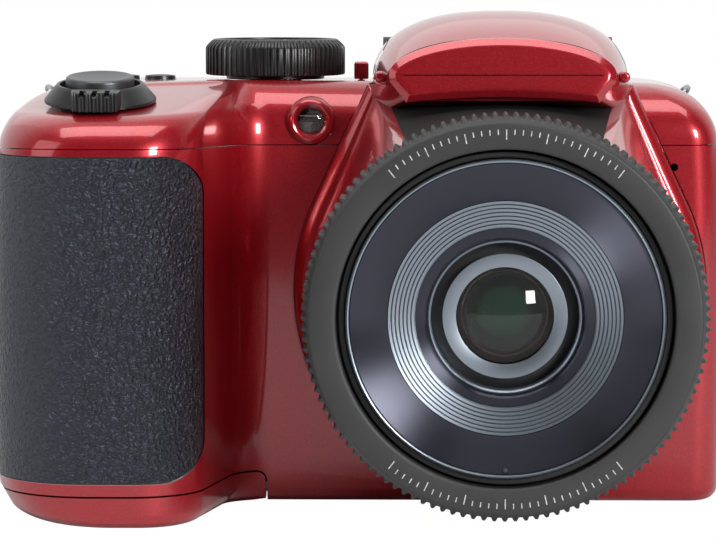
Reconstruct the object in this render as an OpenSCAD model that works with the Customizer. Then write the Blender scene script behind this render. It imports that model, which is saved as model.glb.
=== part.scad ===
// Bridge camera with a deep grip for four AA cells, a telescoping zoom lens and a pop-up flash.
// Frame: X to the right seen from the front, Y to the rear, Z up. The origin is the mouth of the
// tripod socket, straight under the lens axis. Lengths in millimetres.

/* [Body] */
// Lens axis to the outer side of the grip
body_left = 81.6; // [81:0.1:86]
// Lens axis to the plain side
body_right = 37; // [36.6:0.1:42]
// Tripod axis to the front face
body_front = 16; // [15.5:0.1:18]
// Tripod axis to the rear face
body_rear = 20; // [19:0.1:24]
// Base to the top deck
deck_z = 69.2; // [68.5:0.1:73]
// Base to the seam under the top cover
seam_z = 59.3; // [58.8:0.1:60.5]
// Tripod axis to the seam between front and rear cover
split_y = 6; // [5.5:0.1:9]
// Wall of the covers
wall = 1.8; // [1.4:0.1:2]
// Gap at the seams between the covers
seam_gap = 0.12; // [0.06:0.02:0.3]
// How far the sides swell at half height
side_bulge = 1; // [0:0.1:1.6]
// How much wider the base is than the deck, each side
side_draft = 0.4; // [0:0.1:0.8]
// Radius of the shoulders
shoulder_r = 10; // [8:0.1:11]
// Radius of the deck edges
edge_r = 2.5; // [2:0.1:3]
// Radius of the deck's front edge
front_edge_r = 9; // [6:0.5:10]
// Radius of the base edges
foot_r = 4; // [3:0.1:4.5]
// Extra rounding of the base at the grip
heel_r = 8; // [6:0.1:9]
// Radius of the upright edges
side_r = 5; // [4.5:0.1:6]

/* [Grip] */
// How far the grip stands before the front face
grip_reach = 30; // [29.5:0.1:34]
// Width of the grip at its nose
grip_nose_w = 32.1; // [31.6:0.1:35]
// Width of the grip at its foot
grip_foot_w = 38.6; // [37.1:0.1:40]
// Outer corner radius of the grip
grip_outer_r = 18; // [12:0.5:19]
// Inner corner radius of the grip
grip_inner_r = 12; // [8:0.5:13]
// Radius of the valley between grip and front face
valley_r = 7; // [4:0.5:9]
// Radius at the top of the grip's nose
grip_nose_r = 7; // [5:0.5:8]
// Forward tilt of the grip's top
grip_tilt = 8; // [7:0.5:10]
// Tripod axis to the start of the tilted top
slope_start = 12; // [11:0.1:13]
// Thickness of the grip rubber
rubber_t = 0.8; // [0.6:0.05:0.9]
// How far the rubber runs past the inner corner of the grip
rubber_wrap = 1.1; // [0:0.1:1.9]
// Base to the lower edge of the rubber
rubber_low_z = 7.3; // [6.5:0.1:9]
// Base to the upper edge of the rubber
rubber_high_z = 58; // [56:0.1:58.2]
// Corner radius of the rubber
rubber_corner_r = 6; // [3:0.5:8]

/* [Hump] */
// Radius of the lens shroud where it leaves the front face
shroud_r = 34; // [33.4:0.1:34.8]
// Radius of the shroud at its front end
shroud_front_r = 29.6; // [29.2:0.1:30.4]
// Half width of the hump at the front face
hump_half = 21.8; // [21.4:0.1:23]
// Tripod axis to the face of the brow
brow_front = 37; // [36:0.1:39]
// Thickness of the brow's wall
brow_t = 4; // [3.5:0.1:4.5]
// Half width of the brow at its lower edge
brow_low_half = 14.9; // [13:0.1:16]
// Half width of the brow at its corners
brow_half = 18.4; // [17.5:0.1:18.6]
// Rise of the brow's lower edge from the deck, below it
brow_drop = 1.6; // [1:0.1:2]
// Rise of the brow's corners above the deck
brow_corner = 2.1; // [1.5:0.1:2.6]
// Rise of the brow's top above the deck
brow_rise = 7.8; // [7.2:0.1:8.4]

/* [Flash] */
// Rise of the flash cover's crest above the deck
dome_rise = 12; // [11.4:0.1:13]
// Half width of the flash cover at its crest
dome_half = 21; // [20.4:0.1:21.3]
// Half width of the flash cover at its hinge
dome_tail_half = 16.2; // [15.6:0.1:17]
// Tripod axis to the crest, forward
dome_crest = 10; // [8:0.1:12]
// Wall of the flash cover
dome_wall = 1.4; // [1.1:0.1:1.6]
// Tripod axis to the flash hinge, rearward
flash_hinge_y = 9; // [8.5:0.1:10.5]
// Outer radius of the flash cover round its hinge
flash_tail_r = 3.6; // [3.4:0.1:4]
// Radius of the flash hinge pin
flash_pin_r = 0.8; // [0.6:0.05:1]
// Thickness of each hinge bracket
flash_bracket_t = 3; // [2:0.1:3.4]
// Half width of the flash window
flash_window_half = 12.5; // [10:0.1:12.8]
// Height of the flash window
flash_window_h = 3.2; // [2.6:0.1:3.4]
// Travel of the flash switch
flash_switch_travel = 2; // [1:0.1:3]

/* [Lens] */
// Base to the lens axis
lens_z = 35.2; // [35:0.1:35.8]
// Tripod axis to the front of the lens ring
ring_front = 63.5; // [63:0.1:66]
// Depth of the lens ring
ring_depth = 10; // [9:0.1:10.3]
// Radius over the teeth of the lens ring
ring_r = 31.2; // [30.6:0.1:32]
// Depth of the teeth
ring_tooth = 0.7; // [0.4:0.05:1]
// Number of teeth on the lens ring
ring_teeth = 120; // [90:1:140]
// Inner radius of the lens ring
ring_inner_r = 25.8; // [25.7:0.05:26.2]
// Outer radius of the mid barrel
mid_r = 25.5; // [25.3:0.05:25.6]
// Wall of the mid barrel
mid_wall = 0.95; // [0.8:0.05:1]
// Outer radius of the front barrel
front_r = 24.4; // [24.2:0.05:24.45]
// Wall of the front barrel
front_wall = 1; // [0.8:0.05:1.2]
// Running clearance between the barrels
barrel_fit = 0.1; // [0.06:0.01:0.14]
// Wall of the fixed lens tube
tube_wall = 1.6; // [1.2:0.1:1.8]
// How far the front barrel lies behind the ring's face
front_recess = 0.5; // [0.2:0.1:1]
// How far the mid barrel lies behind the ring's face
mid_recess = 2; // [1.5:0.1:2.5]
// Outer radius of the fine grooves on the cone
groove_outer_r = 17.9; // [17:0.1:19]
// Inner radius of the fine grooves on the cone
groove_inner_r = 13.8; // [13.4:0.1:14.5]
// Number of fine grooves
groove_count = 7; // [4:1:9]
// Bore of the cone
cone_bore_r = 12.1; // [12:0.1:12.6]
// Outer radius of the silver ring
silver_r = 9.6; // [9:0.1:10]
// Visible radius of the front lens
glass_r = 7.5; // [6.8:0.1:8]
// Travel of the mid barrel
mid_travel = 22; // [16:0.5:24]

/* [Zoom drive] */
// Module of the gear teeth
gear_module = 0.6; // [0.55:0.01:0.6]
// Teeth on the cam ring
cam_teeth = 90; // [90:1:90]
// Teeth on the pinion
pinion_teeth = 15; // [14:1:16]
// Width of the gear
gear_w = 3; // [2.5:0.1:3.2]
// Radius of the pinion's shaft
pinion_shaft_r = 1; // [0.8:0.05:1.2]
// Radius of the zoom motor
motor_r = 4.5; // [4:0.1:5]
// Length of the zoom motor
motor_len = 6.6; // [5:0.1:6.8]
// Radius of the focus rods
rod_r = 0.75; // [0.6:0.05:1]
// Radius of the focus lens
focus_r = 9; // [7:0.1:10]

/* [Top controls] */
// Lens axis to the mode dial
dial_x = 37.7; // [37.4:0.1:40]
// Tripod axis to the mode dial, rearward
dial_y = 3; // [0:0.1:4]
// Radius of the mode dial
dial_r = 11.8; // [11:0.1:12]
// Height of the mode dial
dial_h = 6.5; // [5:0.1:8]
// Number of ribs on the mode dial
dial_ribs = 64; // [40:1:80]
// Radius of the dial's shaft
dial_shaft_r = 3; // [2.5:0.1:3.4]
// Outer side of the grip to the shutter button
shutter_in = 17.2; // [15.6:0.1:18.6]
// Tripod axis to the shutter button, forward
shutter_y = 30; // [28:0.1:31]
// Radius of the shutter button
shutter_r = 5.5; // [5:0.1:5.7]
// Travel of the shutter button
shutter_travel = 1.2; // [0.6:0.1:1.4]
// Radius of the zoom lever's skirt
lever_r = 8.95; // [8.6:0.05:9.4]
// Height of the zoom lever
lever_h = 3.2; // [2.6:0.1:3.8]
// Width of the lever's finger tab
tab_w = 7.9; // [6:0.1:9]
// Reach of the lever's finger tab past the skirt
tab_reach = 2.4; // [1.5:0.1:3]
// Radius of the power button
power_r = 3.2; // [2.6:0.1:3.4]
// Radius of the burst button
burst_r = 2.6; // [2:0.1:2.8]
// Travel of the small buttons
button_travel = 0.8; // [0.4:0.1:1]
// Clearance round the buttons
button_gap = 0.3; // [0.2:0.05:0.4]
// Radius of the focus lamp
lamp_r = 2.05; // [1.6:0.05:2.3]

/* [Rear] */
// Width of the screen window
screen_w = 66; // [60:0.5:66.5]
// Height of the screen window
screen_h = 49; // [44:0.5:50]
// Radius of the four-way pad
pad_r = 9.5; // [8.5:0.1:10]
// Radius of the set button
set_r = 4; // [3.2:0.1:4.4]
// Radius of the rear buttons
key_r = 3; // [2.4:0.1:3.2]
// Height of the rear buttons above the rear face
key_proud = 0.8; // [0.4:0.1:1.2]

/* [Power] */
// Radius of an AA cell
cell_r = 7.25; // [6.9:0.05:7.3]
// Length of an AA cell
cell_len = 50.5; // [49:0.1:50.5]
// Clearance round a cell
cell_gap = 0.2; // [0.1:0.05:0.3]
// Base to the seam of the battery door
door_z = 5.3; // [5:0.1:5.6]
// Lens axis to the inner edge of the battery door
door_x = 38.4; // [37.8:0.1:39]
// Tripod axis to the rear edge of the battery door
door_rear = 12; // [11.5:0.1:14]
// Clearance round the battery door
door_gap = 0.3; // [0.2:0.05:0.4]
// Radius of the door's hinge pin
door_pin_r = 0.5; // [0.4:0.05:0.55]
// Radius of the tripod thread's wall
tripod_r = 2.55; // [2.5:0.05:3.2]
// Depth of the tripod socket
tripod_depth = 6; // [5:0.1:7]

/* [Hidden] */
$fn = 48;

// Colours of the finishes
red = [0.62, 0.10, 0.14];
black = [0.10, 0.10, 0.11];
dark_grey = [0.25, 0.25, 0.26];
mid_grey = [0.45, 0.46, 0.48];
steel = [0.72, 0.74, 0.77];
brass = [0.78, 0.64, 0.32];
glass = [0.35, 0.40, 0.48];
board_green = [0.10, 0.32, 0.20];

// A slice that is thin enough to be a section
slice = 0.02;
// Far enough to pass right through the body
far = 200;
// Running fit of pins and shafts
pin_fit = 0.03;
// Gap that seats a piece on what carries it
seat = 0.1;

// Body sections, each a six-cornered outline with rounded corners, as a function of height
mid_z = deck_z / 2;
grip_tip_x = body_left - grip_nose_w;
grip_root_x = body_left - grip_foot_w;
rubber_edge_x = grip_tip_x - rubber_wrap;
shutter_x = body_left - shutter_in;
nose_y = -(body_front + grip_reach);
nose_centre_y = nose_y + grip_nose_r;
nose_centre_z = deck_z - (grip_nose_r - (slope_start + nose_centre_y) * sin(grip_tilt)) / cos(grip_tilt);

function rotated(v, angle) = [v[0] * cos(angle) - v[1] * sin(angle), v[0] * sin(angle) + v[1] * cos(angle)];

// The arc that rounds the corner p between its neighbours a and b
function rounded_corner(a, p, b, r, steps) =
    let (u = (a - p) / norm(a - p))
    let (v = (b - p) / norm(b - p))
    let (half = acos(u * v) / 2)
    let (centre = p + (u + v) / norm(u + v) * r / sin(half))
    let (first = p + u * r / tan(half) - centre)
    let (turn = -sign(cross(u, v)) * (180 - 2 * half))
    [for (i = [0:steps]) centre + rotated(first, turn * i / steps)];

// A quarter round of radius r: how far the side has drawn in at a depth into the round
function drawn_in(r, depth) = depth <= 0 ? 0 : r - sqrt(max(0, r * r - depth * depth));

function swell(z) = side_bulge * pow((z - mid_z) / mid_z, 2) + side_draft * (z - mid_z) / mid_z;
function edge_round(d) = max(edge_r - d, 0.2);
function foot_round(d) = max(foot_r - d, 0.2);
function shoulder_in(z, d) = drawn_in(shoulder_r - d, z - (deck_z - shoulder_r));
function front_in(z, d) = drawn_in(front_edge_r - d, z - (deck_z - front_edge_r));
function heel_in(z, d) = drawn_in(heel_r - d, heel_r - z);
function edge_in(z, d) =
    drawn_in(edge_round(d), z - (deck_z - d - edge_round(d)))
    + drawn_in(foot_round(d), d + foot_round(d) - z);

// Front of the grip in side view: upright, then round, then the tilted top
function nose_at(z, d) =
    let (r = grip_nose_r - d)
    let (round_top = nose_centre_z + r * cos(grip_tilt))
    let (slope_y = nose_centre_y - r * sin(grip_tilt) + (z - round_top) / tan(grip_tilt))
    let (y = z <= nose_centre_z ? nose_y + d
        : z <= round_top ? nose_centre_y - sqrt(r * r - pow(z - nose_centre_z, 2))
        : slope_y)
    min(y, -body_front + d - 0.05);

function body_section(z, d) =
    let (e = edge_in(z, d))
    let (side = swell(z) + shoulder_in(z, d) + d + e)
    let (right = body_right - side)
    let (left = -(body_left - side - heel_in(z, d)))
    let (front = -body_front + d + max(e, front_in(z, d)))
    let (rear = body_rear - d - e)
    let (nose = min(nose_at(z, d) + e, front - 0.05))
    let (share = (front - nose) / grip_reach)
    let (root = -grip_root_x - d - e)
    let (tip = root + (grip_root_x - grip_tip_x) * share)
    let (upright = max(side_r - d - e, 0.4))
    let (outer = min(max(grip_outer_r - d - e, 1) * (0.35 + 0.65 * share), 0.5 * (tip - left)))
    let (inner = min(max(grip_inner_r - d - e, 1) * share, 0.4 * (tip - left)))
    let (valley = (valley_r + d + e) * share)
    let (p = [[right, front], [right, rear], [left, rear], [left, nose], [tip, nose], [root, front]])
    let (r = [upright, upright, upright, outer, inner, valley])
    let (steps = [4, 4, 4, 8, 7, 6])
    [for (i = [0:5]) each rounded_corner(p[(i + 5) % 6], p[i], p[(i + 1) % 6], r[i], steps[i])];

function levels(d) = concat(
    [for (a = [0:30:90]) d + foot_round(d) * (1 - cos(a))],
    [heel_r, mid_z],
    [for (i = [0:6]) nose_centre_z + (deck_z - d - edge_round(d) - nose_centre_z) * i / 6],
    [for (a = [30:30:90]) deck_z - d - edge_round(d) * (1 - sin(a))]
);

// A solid through a stack of closed rings of as many points each
module loft(rings) {
    n = len(rings[0]);
    last = len(rings) - 1;
    sides = [for (k = [0:last - 1], i = [0:n - 1])
        [k * n + i, (k + 1) * n + i, (k + 1) * n + (i + 1) % n, k * n + (i + 1) % n]];
    bottom = [for (i = [0:n - 1]) i];
    top = [for (i = [n - 1:-1:0]) last * n + i];
    polyhedron(points = [for (ring = rings) each ring], faces = concat(sides, [bottom, top]), convexity = 6);
}

// The body's outer form, drawn in by d
module body_form(d) {
    loft([for (z = levels(d)) [for (p = body_section(z, d)) [p[0], p[1], z]]]);
}

// Frames of the pieces: along the lens axis, on the rear face and on the tilted top of the grip
module on_lens() { translate([0, 0, lens_z]) rotate([90, 0, 0]) children(); }
module on_rear(x, z) { translate([x, body_rear, z]) rotate([-90, 0, 0]) children(); }
module on_slope() {
    translate([-shutter_x, -shutter_y, deck_z - (shutter_y - slope_start) * tan(grip_tilt)])
        rotate([grip_tilt, 0, 0]) children();
}
module turned(profile) { rotate_extrude() polygon(profile); }
module disc(r, from, to) { translate([0, 0, from]) cylinder(r = r, h = to - from); }
module tube(r_out, r_in, from, to) {
    difference() {
        disc(r_out, from, to);
        disc(r_in, from - 1, to + 1);
    }
}
module box(low, high) { translate(low) cube(high - low); }
module rounded_plate(w, h, r, from, to) {
    translate([0, 0, from]) linear_extrude(to - from) {
        square([w - 2 * r, h], center = true);
        square([w, h - 2 * r], center = true);
        for (x = [-1, 1], y = [-1, 1])
            translate([x * (w / 2 - r), y * (h / 2 - r)]) circle(r);
    }
}
// A rounded block between two corners, its round edges along Y
module soft_block(x0, x1, z0, z1, y0, y1, r) {
    hull() for (x = [x0 + r, x1 - r], z = [z0 + r, z1 - r])
        translate([x, y1, z]) rotate([90, 0, 0]) cylinder(r = r, h = y1 - y0, $fn = 32);
}
// A stiffening rib of the covers' wall thickness between two points
module rib(a, b, h) {
    hull() for (p = [a, b]) translate(p) translate([-0.5, -0.5, 0]) cube([1, 1, h]);
}

// Lens stations, forward of the tripod axis
ring_back = ring_front - ring_depth;
shroud_front = ring_back - 0.5;
tube_inner_r = mid_r + barrel_fit;
tube_r = tube_inner_r + tube_wall;
tube_front = ring_front - 5.5;
tube_back = body_front - wall - 3.2;
shroud_hole_r = tube_r + 0.4;
post_r = 1.5;
post_circle = shroud_r - wall - post_r - 0.7;
plate_r = post_circle + post_r + 0.3;
flange_flat = deck_z - lens_z - 5.6;
base_front = 6;
base_t = 2.5;
base_back = base_front - base_t;
mid_front = ring_front - mid_recess;
mid_back = mid_front - 35;
barrel_front = ring_front - front_recess;
barrel_back = mid_back + 5.5;
front_travel = mid_travel - 2;
cone_slope = 1.2;
cone_wall = 1.2;
groove_step = (groove_outer_r - groove_inner_r) / groove_count;
cone_back = barrel_front - 13;
silver_front = barrel_front - 5.4;
gear_back = base_front + 1.5;
gear_front = gear_back + gear_w;
cam_front = mid_back - 1;
cam_pitch_r = gear_module * cam_teeth / 2;
pinion_pitch_r = gear_module * pinion_teeth / 2;
pinion_angle = (floor(134 / (360 / cam_teeth)) + 0.5) * 360 / cam_teeth;
pinion_place = (cam_pitch_r + pinion_pitch_r) * [cos(pinion_angle), sin(pinion_angle)];
rod_circle = focus_r + 5.5;
carriage_back = base_front + 6;
carriage_t = 4;

// Flash stations
flash_gap = 0.4;
flash_base_z = deck_z + flash_gap;
flash_hinge_z = flash_base_z + flash_tail_r;
dome_front = brow_front - brow_t - 0.4;
dome_front_half = brow_half + 0.2;
dome_front_rise = brow_rise + 0.1;
dome_power = 2.4;
bracket_inner = dome_tail_half + 0.3;
bracket_r = flash_tail_r - 0.4;
frame_t = 1.4;

// Places of the small controls
power_place = [-shutter_x + 1.4, -slope_start + power_r + 0.3];
burst_place = [-dial_x - dial_r - 8, 6.5];
lamp_place = [-31.1, deck_z - 6];
lamp_back = 4;
lamp_flange = 0.8;
boss_r = 4;
mic_place = [28.6, seam_z - 3.7];
mic_r = 0.65;
screen_place = [-1.5, 32];
pad_in = 22.6;
pad_place = [-(body_left - pad_in), 26];
movie_place = [-43, 52];
menu_place = [-43, 40];
play_place = [-43, 14];
cell_pitch = 2 * (cell_r + cell_gap) + 0.3;
holder_t = 0.8;
cell_front_y = -(body_front + grip_reach - wall - holder_t - cell_r - cell_gap) + 13.2;
cell_left_x = -(body_left - wall - holder_t - cell_r - cell_gap - side_bulge);
cell_low_z = door_z + 0.9;
holder_low_z = cell_low_z + 0.3;
cell_places = [for (i = [0, 1], j = [0, 1]) [cell_left_x + i * cell_pitch, cell_front_y + j * cell_pitch]];
hinge_r = 2 * door_pin_r;
hinge_x = -door_x - door_gap - hinge_r;
hinge_z = hinge_r + 0.1;
leaf_low_y = -8;
leaf_high_y = 6;
knuckle_len = 3.3;
base_leaf_t = 0.9;
cap_h = lever_h + 1.2;
lug_angle = 40;
lug_y = 12;
port_low = [-8, 20];
port_high = [4, 44];
port_t = 1.6;
port_x = body_right - side_bulge * 0.15;
port_mid = (port_low + port_high) / 2;
socket_mouth_x = port_x - port_t - 0.4;
socket_depth = 2.9;
socket_w = 7.5;
socket_h = 2.8;
socket_t = 0.5;
cut = 0.25;
thumb_in = 4.6;
thumb_low = [-(body_left - thumb_in), 42];
thumb_high = [movie_place[0] - key_r - 2, 56];
thumb_t = 1;
lug_t = 1.8;
lug_w = 8;
lug_h = 3;
lug_round = 2;
lug_slot_w = 5.4;
lug_slot_z = 0.3;
lug_slot_h = 1.6;
door_wall = 1.6;
door_rib_x = -68;
latch_place = [-62, -22];
latch_w = 8;
latch_d = 6;
latch_t = 1.3;
latch_travel = 2.5;
latch_gap = 0.25;
pcb_t = 1.2;
main_board_y = 4;
foot_t = 0.9;
foot_gap = 0.4;
key_board_y = body_rear - wall - foot_gap - foot_t - button_travel - 0.3;
key_posts = [[pad_place[0] - 13, 11], [pad_place[0] + 11, 10], [pad_place[0] - 13, 54]];

// Small pieces: switch, ring, barrels, shutter group and power parts
switch_x = -hump_half - 2.5;
ring_flange = 1.4;
cam_bore_r = tube_inner_r - 3;
zoom_lens_r = 10;
lens_seat_r = glass_r + 1;
board_posts = [[-22, -14], [22, -14], [-12, 22], [22, 16]];
sleeve_r = shutter_r + 0.85;
button_fit = 0.08;
lever_gap = 0.3;
power_proud = 1.4;
burst_proud = 0.9;
card_y = cell_places[1][1] + cell_r + cell_gap + holder_t + 0.2;
card_half_w = 14;
card_t = 3.4;
card_len = 30;
card_wall = 0.6;
contact_front = 0;
contact_back = 3;
contact_end = 4;
contact_t = 0.4;
cell_mid_x = (cell_places[0][0] + cell_places[3][0]) / 2;
capacitor_r = 4.6;
capacitor_low_z = 12;
capacitor_len = 28;
// The capacitor nestles between the two front cells of the holder
capacitor_reach = cell_r + cell_gap + holder_t + capacitor_r + 2 * seat;
capacitor_y = cell_front_y - sqrt(capacitor_reach * capacitor_reach - cell_pitch * cell_pitch / 4);
head_floor_z = flash_base_z + seat;
head_top_z = head_floor_z + frame_t;
holder_top_z = cell_low_z + cell_len - 1;

// The camera's outer form and its hollow: body, lens shroud and brow
module shroud_form(d, front_end) {
    hull() {
        on_lens() disc(shroud_r - d, body_front - 2 * wall, body_front - wall);
        on_lens() disc(shroud_front_r - d, front_end - 1, front_end, $fn = 64);
        box([-hump_half + d, -body_front, deck_z - 4], [hump_half - d, -body_front + 2 * wall, deck_z - d]);
    }
}
function arch(half, rise, low, power, steps) =
    [for (i = [0:steps]) let (a = 180 * i / steps)
        [half * sign(cos(a)) * pow(abs(cos(a)), 2 / power), low + rise * pow(sin(a), 2 / power)]];
brow_outline = concat(
    [[-brow_low_half, deck_z - brow_drop], [brow_low_half, deck_z - brow_drop]],
    arch(brow_half, brow_rise - brow_corner, deck_z + brow_corner, dome_power, 14)
);
module upright_slice(y, outline, t) {
    translate([0, y + t, 0]) rotate([90, 0, 0]) linear_extrude(t) polygon(outline);
}
module brow_form() {
    hull() upright_slice(-brow_front, brow_outline, brow_t);
    hull() {
        upright_slice(-brow_front, [[-brow_low_half, deck_z - brow_drop],
            [brow_low_half, deck_z - brow_drop], [brow_half, deck_z], [-brow_half, deck_z]], brow_t);
        box([-hump_half, -body_front, deck_z - 4], [hump_half, -body_front + 1, deck_z]);
    }
}
module camera_shell() {
    difference() {
        union() {
            body_form(0);
            shroud_form(0, shroud_front);
            brow_form();
        }
        body_form(wall);
        shroud_form(wall, shroud_front - wall);
        hull() {
            box([-brow_low_half + 2, -brow_front + brow_t, deck_z - 4],
                [brow_low_half - 2, -body_front, deck_z - wall]);
            box([-hump_half + 3, -body_front - 1, deck_z - 6],
                [hump_half - 3, -body_front + 3, deck_z - wall]);
        }
        on_lens() disc(shroud_hole_r, 0, ring_front, $fn = 64);
    }
}
module door_space(gap) {
    box([-far, -far, -1], [-door_x + gap, door_rear + gap, door_z + gap]);
}
module rubber_window(gap) {
    soft_block(-far, -rubber_edge_x + gap, rubber_low_z - gap, rubber_high_z + gap, -far, split_y - 1 + gap,
        rubber_corner_r + gap);
}
module flat_cut(z0, z1, y0, y1) { box([-far, y0, z0], [far, y1, z1]); }

module front_cover() {
    color(red) difference() {
        union() {
            intersection() {
                camera_shell();
                flat_cut(-1, seam_z - seam_gap, -far, split_y - seam_gap);
            }
            for (x = [-26, -12, 12, 26])
                rib([x, -body_front + wall, wall - 0.2], [x, split_y - 2, wall - 0.2], 0.8);
        }
        door_space(0);
        difference() {
            rubber_window(seam_gap);
            body_form(rubber_t + seam_gap);
        }
        box([port_x - port_t - 4, port_low[0] - cut, port_low[1] - cut],
            [far, port_high[0] + cut, port_high[1] + cut]);
        translate([mic_place[0], -body_front, mic_place[1]]) rotate([90, 0, 0])
            cylinder(r = mic_r, h = 4 * wall, center = true, $fn = 24);
        disc(5 + seat, -1, wall + 1);
    }
}

module rear_cover() {
    color(red) difference() {
        union() {
            intersection() {
                camera_shell();
                flat_cut(-1, seam_z - seam_gap, split_y, far);
            }
            for (i = [0:7])
                rib([-34 + 9 * i, body_rear - wall - 1, wall - 0.2],
                    [-34 + 9 * i, body_rear - wall - 4, wall - 0.2], 3);
        }
        door_space(0);
        on_rear(screen_place[0], screen_place[1])
            rounded_plate(screen_w + 2 * seat, screen_h + 2 * seat, 2, -far / 10, 5);
        on_rear(pad_place[0], pad_place[1]) disc(pad_r + button_gap + 0.1, -2 * wall, 2);
        for (p = [movie_place, menu_place, play_place])
            on_rear(p[0], p[1]) disc(key_r + button_gap, -2 * wall, 2);
        soft_block(thumb_low[0] - seat, thumb_high[0] + seat, thumb_low[1] - seat, thumb_high[1] + seat,
            body_rear - thumb_t, far, 4);
    }
}

module top_cover() {
    color(red) difference() {
        union() {
            intersection() {
                camera_shell();
                flat_cut(seam_z, far, -far, far);
            }
            translate([lamp_place[0], -body_front, lamp_place[1]]) rotate([90, 0, 0])
                turned([[0, -lamp_back], [boss_r, -lamp_back], [boss_r, -0.5], [boss_r - 1.1, 1.2], [0, 1.2]]);
            for (x = [-50, -20, 0, 12])
                rib([x, body_rear - wall, deck_z - wall - 2], [x, -2, deck_z - wall - 2], 2.2);
        }
        translate([lamp_place[0], -body_front, lamp_place[1]]) rotate([90, 0, 0]) {
            disc(lamp_r + seat, -far / 20, 5);
            disc(lamp_r + lamp_flange + seat, -far / 20, -wall);
        }
        translate([-dial_x, dial_y, deck_z]) disc(dial_shaft_r + 1.4 + seat, -5, 5);
        on_slope() disc(shutter_r + 1 + seat, -6, 6);
        translate([power_place[0], power_place[1], deck_z]) disc(power_r + button_gap, -4, 4);
        translate([burst_place[0], burst_place[1], deck_z]) disc(burst_r + button_gap, -4, 4);
        flash_switch_space();
        for (side = [-1, 1]) lug_frame(side)
            box([-lug_t / 2 - seat, -lug_w / 2 - seat, -4], [lug_t / 2 + seat, lug_w / 2 + seat, 1]);
    }
}

module grip_rubber() {
    color(black) difference() {
        intersection() {
            body_form(seam_gap);
            rubber_window(0);
        }
        body_form(rubber_t);
    }
}

module thumb_rest() {
    color(black) on_rear((thumb_low[0] + thumb_high[0]) / 2, (thumb_low[1] + thumb_high[1]) / 2) {
        rounded_plate(thumb_high[0] - thumb_low[0], thumb_high[1] - thumb_low[1], 4, -thumb_t + seat, 0.5);
        for (i = [-3:3]) translate([i * 3.4, 0, 0]) rounded_plate(1.6, 9, 0.79, 0.5, 0.9);
    }
}

module lug_frame(side) {
    shoulder_x = side > 0 ? body_right - shoulder_r : -(body_left - shoulder_r);
    translate([shoulder_x - side * swell(deck_z), lug_y, deck_z - shoulder_r])
        rotate([0, side * lug_angle, 0]) translate([0, 0, shoulder_r]) children();
}

// A steel loop on each shoulder, its foot held in the top cover
module strap_lugs() {
    color(steel) for (side = [-1, 1]) lug_frame(side) rotate([90, 0, 90])
        translate([0, 0, -lug_t / 2]) linear_extrude(lug_t) difference() {
            union() {
                translate([-lug_w / 2, -wall - 1]) square([lug_w, wall + 1 + lug_h - lug_round]);
                translate([-lug_w / 2 + lug_round, 0]) square([lug_w - 2 * lug_round, lug_h]);
                for (end = [-1, 1])
                    translate([end * (lug_w / 2 - lug_round), lug_h - lug_round]) circle(lug_round);
            }
            translate([-lug_slot_w / 2, lug_slot_z]) square([lug_slot_w, lug_slot_h]);
        }
}

// Battery door: the bottom of the grip, hinged on the edge that faces the lens
module battery_door() {
    color(red) difference() {
        union() {
            difference() {
                intersection() {
                    body_form(0);
                    box([-far, -far, -1], [-door_x - door_gap, door_rear - door_gap, door_z - door_gap]);
                }
                intersection() {
                    body_form(door_wall);
                    box([-far, -far, -1],
                        [hinge_x - hinge_r - door_wall, door_rear - door_gap - door_wall, far]);
                }
            }
            for (i = [0:6])
                rib([door_rib_x + 3.6 * i, nose_y + 14, door_wall - 0.2],
                    [door_rib_x + 3.6 * i, door_rear - 3, door_wall - 0.2], 0.8);
            translate([latch_place[0], latch_place[1], 0])
                box([-latch_w / 2 - latch_travel - 1, -latch_d / 2 - 1, door_wall - 0.2],
                    [latch_w / 2 + 1, latch_d / 2 + 1, latch_t + latch_gap + 1]);
        }
        box([hinge_x - hinge_r - door_gap, leaf_low_y - knuckle_len - 2 * door_gap, -1],
            [0, leaf_high_y + knuckle_len + 2 * door_gap, door_z]);
        hull() for (p = [[-door_x - door_gap, hinge_z - 0.3], [-door_x + 1, -1], [hinge_x - 0.7, -1]])
            translate([p[0], -far, p[1]]) cube([slice, 2 * far, slice]);
        translate([latch_place[0], latch_place[1], 0])
            box([-latch_w / 2 - latch_travel - latch_gap, -latch_d / 2 - latch_gap, -1],
                [latch_w / 2 + latch_gap, latch_d / 2 + latch_gap, latch_t + latch_gap]);
    }
}

// Sliding catch in the underside of the door
module battery_latch() {
    color(dark_grey) translate([latch_place[0], latch_place[1], 0]) difference() {
        box([-latch_w / 2, -latch_d / 2, 0.1], [latch_w / 2, latch_d / 2, latch_t]);
        for (i = [-1:1]) box([1.6 * i - 0.4, -latch_d / 2 + 1, 0], [1.6 * i + 0.4, latch_d / 2 - 1, 0.5]);
    }
}

module hinge_bar(r, y0, y1) {
    translate([hinge_x, y1, hinge_z]) rotate([90, 0, 0]) cylinder(r = r, h = y1 - y0);
}

// Hinge of the battery door: a leaf in the door, two knuckles in the body and a pin
module door_hinge_leaf() {
    color(steel) difference() {
        union() {
            hinge_bar(hinge_r, leaf_low_y, leaf_high_y);
            box([hinge_x - hinge_r - door_gap + seat, leaf_low_y, hinge_z],
                [hinge_x, leaf_high_y, hinge_z + hinge_r]);
        }
        hinge_bar(door_pin_r + pin_fit, leaf_low_y - 1, leaf_high_y + 1);
    }
}
module door_hinge_base() {
    color(steel) difference() {
        for (y = [leaf_low_y - door_gap - knuckle_len, leaf_high_y + door_gap]) {
            hinge_bar(hinge_r, y, y + knuckle_len);
            box([hinge_x, y, hinge_z], [-door_x - seat, y + knuckle_len, wall + base_leaf_t]);
            box([hinge_x, y, wall + seat], [-door_x + 4, y + knuckle_len, wall + base_leaf_t]);
        }
        hinge_bar(door_pin_r, leaf_low_y - 10, leaf_high_y + 10);
    }
}
module door_hinge_pin() {
    color(steel)
        hinge_bar(door_pin_r, leaf_low_y - door_gap - knuckle_len, leaf_high_y + door_gap + knuckle_len);
}

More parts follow.
